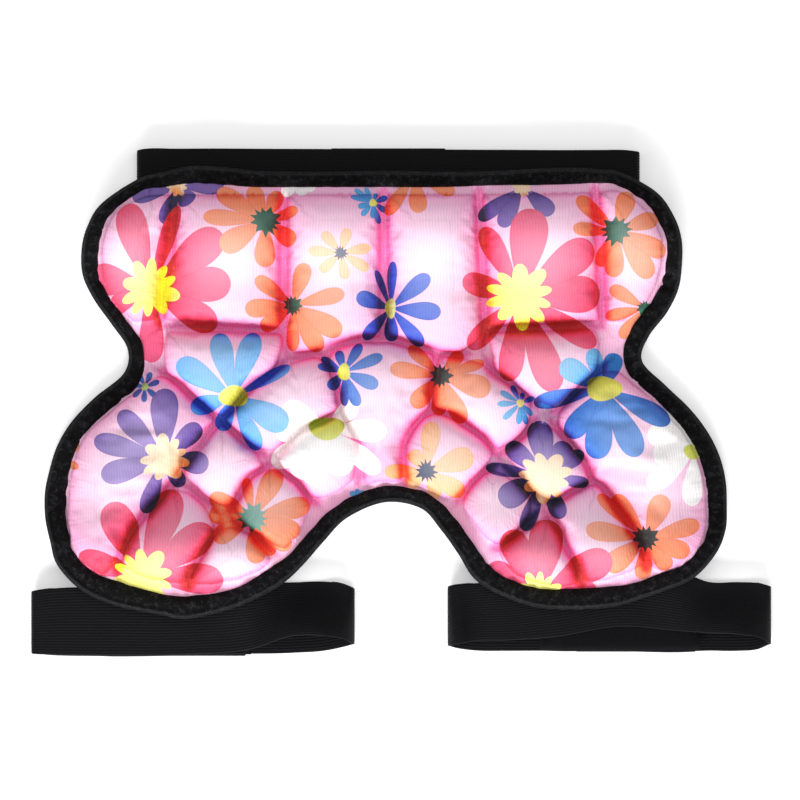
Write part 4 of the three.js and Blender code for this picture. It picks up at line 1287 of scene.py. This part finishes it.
BELT = dict(name="waist_elastic", width=BELT_WIDTH, span=BELT_SPAN, rows=BELT_ROWS, ribs=27,
            centre=(1.3, PAD_SIZE[1] / 2 + BELT_SHOW - BELT_WIDTH / 2),
            overlap=(-0.25, 0.25), node="waist_belt", patch="waist_fastener")
LEFT = dict(name="leg_elastic_left", width=STRAP_WIDTH, span=STRAP_SPAN, rows=LEFT_ROWS,
            ribs=24, centre=(-100.0, -PAD_SIZE[1] / 2 - 2.5),
            overlap=(-0.43, 0.36), node="leg_strap_left", patch="leg_fastener_left")
RIGHT = dict(name="leg_elastic_right", width=STRAP_WIDTH, span=STRAP_SPAN, rows=RIGHT_ROWS,
             ribs=24, centre=(116.0, -PAD_SIZE[1] / 2),
             overlap=(-0.24, 0.53), node="leg_strap_right", patch="leg_fastener_right")
BAND_STEP = 2.4
FOLD_STEPS = 10
CUTS_A_RIB = 4
RIB_DEPTH = 0.2
RIB_ROUND = 0.7
EDGE_THIN, EDGE_SOFT = 0.35, 0.5
# The slack ripple of a band's ends: height, waves along, lean across, share.
RIPPLE = 0.25
RIPPLE_ALONG, RIPPLE_ACROSS, RIPPLE_SHARE = 17, 3, 0.4


def column_at(rows, places, column):
    """One column of a table, followed smoothly from row to row."""
    table = np.array(rows, float)
    x, y = table[:, 0], table[:, column]
    slope = np.gradient(y, x)
    k = np.clip(np.searchsorted(x, places) - 1, 0, len(x) - 2)
    wide = x[k + 1] - x[k]
    t = np.clip((places - x[k]) / wide, 0, 1)
    return (
        (2 * t**3 - 3 * t**2 + 1) * y[k] + (t**3 - 2 * t**2 + t) * wide * slope[k]
        + (3 * t**2 - 2 * t**3) * y[k + 1] + (t**3 - t**2) * wide * slope[k + 1]
    )


def band_path(span, overlap):
    """Points of the loop's middle line as it lies: x, z, the way out, and 1 on the front."""
    half = span / 2
    radius = (ELASTIC_THICK + LOOP_ROOM) / 2
    fold = half - radius - ELASTIC_THICK / 2
    low = ELASTIC_THICK / 2
    high = low + 2 * radius
    inner = ELASTIC_THICK * 1.5 + 2 * CLEARANCE + PATCH_THICK
    start, end = (share * half for share in overlap)
    path = []

    def flat(x0, z0, x1, z1, nz, front):
        cuts = max(2, round(abs(x1 - x0) / BAND_STEP))
        for t in np.linspace(0, 1, cuts, endpoint=False):
            path.append((x0 + (x1 - x0) * t, z0 + (z1 - z0) * eased(t), 0.0, nz, front))

    def turn(side):
        for i in range(FOLD_STEPS):
            a = -side * math.pi / 2 + math.pi * i / FOLD_STEPS
            share = i / FOLD_STEPS
            front = share if side > 0 else 1 - share
            path.append((side * fold + radius * math.cos(a), low + radius + radius * math.sin(a),
                         math.cos(a), math.sin(a), front))

    ramp = start - PATCH_MARGIN - PATCH_RAMP
    flat(start, low, fold, low, -1.0, 0.0)
    turn(1)
    flat(fold, high, -fold, high, 1.0, 1.0)
    turn(-1)
    flat(-fold, low, ramp, low, -1.0, 0.0)
    flat(ramp, low, start - PATCH_MARGIN, inner, -1.0, 0.0)
    flat(start - PATCH_MARGIN, inner, end, inner, -1.0, 0.0)
    path.append((end, inner, 0.0, -1.0, 0.0))
    return np.array(path)


def elastic_band(band):
    """A ribbed band along its loop."""
    path = band_path(band["span"], band["overlap"])
    x, z, nx, nz, front = path.T
    share = x / (band["span"] / 2)
    back_low, front_low, front_high, stand = (
        column_at(band["rows"], share, column) for column in (1, 2, 3, 4)
    )
    turned = (1 + nz) / 2
    low = back_low + (front_low - back_low) * turned
    back_high = np.minimum(back_low + 1, front_high)
    high = back_high + (front_high - back_high) * turned
    u = np.linspace(0, 1, band["ribs"] * CUTS_A_RIB + 1)
    ridge = np.abs(np.sin(u * band["ribs"] * math.pi)) ** RIB_ROUND
    edge_thin = 1 - EDGE_THIN * np.exp(-np.minimum(u, 1 - u) * band["width"] / EDGE_SOFT)
    half_thick = ELASTIC_THICK / 2 * edge_thin - RIB_DEPTH * (1 - ridge)
    ripple = np.sin(share[:, None] * RIPPLE_ALONG + u[None, :] * RIPPLE_ACROSS)
    ripple = RIPPLE * ripple * np.abs(share[:, None]) ** 2
    lift = (front * stand)[:, None] * band["width"] * np.sin(u * math.pi / 2)[None, :] ** 2
    y = (high[:, None] + (low - high)[:, None] * u[None, :]) * band["width"]
    y = y + ripple * (1 - np.abs(nx))[:, None] * RIPPLE_SHARE
    layers = []
    for way in (1.0, -1.0):
        out = half_thick[None, :] * way
        layers.append(np.stack([
            band["centre"][0] + x[:, None] + nx[:, None] * out,
            band["centre"][1] + y,
            z[:, None] + nz[:, None] * out + lift,
        ], axis=2))
    rings = np.concatenate([layers[0], layers[1][:, ::-1]], axis=1)
    obj = mesh_object(band["name"], *lofted(rings))
    finish_mesh(obj)
    return obj


woven, tree, shader = new_material("ribbed_elastic")
where_on = add(tree, "ShaderNodeTexCoord").outputs["Object"]
threads = noise(vectors("MULTIPLY", where_on, (1.0, 0.25, 0.25)), 2600.0)
weave = noise(where_on, 900.0, 3.0, 0.6)
tint = mixed(weave, srgb(5, 5, 7), srgb(14, 14, 17))
finish(shader, tint, bumped(maths("ADD", threads, weave), 0.00025, 0.6),
       {"Roughness": 0.6, "Specular IOR Level": 0.1})
for band in (BELT, LEFT, RIGHT):
    obj = elastic_band(band)
    obj.data.materials.append(woven)
    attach(obj, "root")
    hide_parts(band["node"])
    print(obj.name, len(obj.data.polygons), "faces")

# %% [markdown]
# The hook-and-loop patches between the ends. Each is a thin plate with soft corners, so a cube
# is sized to the model's own patch, bevelled, and given a fuzzy finish.

# %% Hook-and-loop patches
PATCH_BEVEL = 0.0005
BEVEL_CUTS = 3
fuzzy, tree, shader = new_material("hook_and_loop")
loops = noise(add(tree, "ShaderNodeTexCoord").outputs["Object"], 1100.0, 4.0, 0.75)
tint = mixed(maths("POWER", loops, 2.0), srgb(5, 5, 7), srgb(24, 24, 29))
finish(shader, tint, bumped(loops, 0.0008, 1.0),
       {"Roughness": 1.0, "Specular IOR Level": 0.1, "Sheen Weight": 0.03})


def soft_plate(name, low, high):
    """A plate with soft edges that fills a box, in metres."""
    bpy.ops.object.select_all(action="DESELECT")
    bpy.ops.mesh.primitive_cube_add(size=1, location=(0, 0, 0))
    plate = bpy.context.object
    plate.name = name
    bpy.ops.object.mode_set(mode="EDIT")
    bpy.ops.mesh.select_all(action="SELECT")
    bpy.ops.transform.resize(value=tuple(high[i] - low[i] for i in range(3)))
    bpy.ops.transform.translate(value=tuple((high[i] + low[i]) / 2 for i in range(3)))
    bpy.ops.mesh.bevel(offset=PATCH_BEVEL, segments=BEVEL_CUTS, affect="EDGES")
    bpy.ops.object.mode_set(mode="OBJECT")
    plate.data.materials.append(fuzzy)
    return plate


for band in (BELT, LEFT, RIGHT):
    low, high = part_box(band["patch"])
    plate = soft_plate(f"{band['name']}_patch", low, high)
    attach(plate, "root")
    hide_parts(band["patch"])
    print(plate.name, "fits", band["patch"])

# %% [markdown]
# The right strap shows the fuzzy loop side of its closure, sewn to the strap's inner end and
# onto its back layer. It is a thin strip that follows the band below it, lofted along X.

# %% Loop side of the right closure
STRIP_FROM, STRIP_TO = -36.0, 44.0
STRIP_LOW, STRIP_HIGH = -16.9, 3.5
STRIP_POINT = 3.0
STRIP_THICK = 0.8
STRIP_RIM = 0.1
STRIP_GAP = 0.15
STRIP_STEP = 2.0
STRIP_CUTS = 9
PUFF_SQUARE = 8
end_from = RIGHT["overlap"][0] * RIGHT["span"] / 2 - PATCH_MARGIN
inner_top = 2 * ELASTIC_THICK + 2 * CLEARANCE + PATCH_THICK
along = np.arange(STRIP_FROM, STRIP_TO + STRIP_STEP / 2, STRIP_STEP)
climb = (inner_top - ELASTIC_THICK) * eased((along - end_from + PATCH_RAMP) / PATCH_RAMP)
under = ELASTIC_THICK + climb + STRIP_GAP
across = np.linspace(0, 1, STRIP_CUTS)
puff = STRIP_RIM + STRIP_THICK * (1 - (2 * across - 1) ** PUFF_SQUARE)
y = STRIP_LOW + (STRIP_HIGH - STRIP_LOW) * across
rings = []
for x, z in zip(along, under):
    lean = x + STRIP_POINT * max(0, 1 - (STRIP_TO - x) / STRIP_STEP) * (1 - across)
    top = np.column_stack([lean, y, z + puff])
    bottom = np.column_stack([lean, y, np.full(len(y), z)])
    rings.append(np.vstack([top, bottom[::-1]]))
rings = np.array(rings) + np.array([*RIGHT["centre"], 0.0])
strip = mesh_object("leg_elastic_right_loop_side", *lofted(rings))
finish_mesh(strip)
strip.data.materials.append(fuzzy)
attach(strip, "root")
print(strip.name, len(strip.data.polygons), "faces")
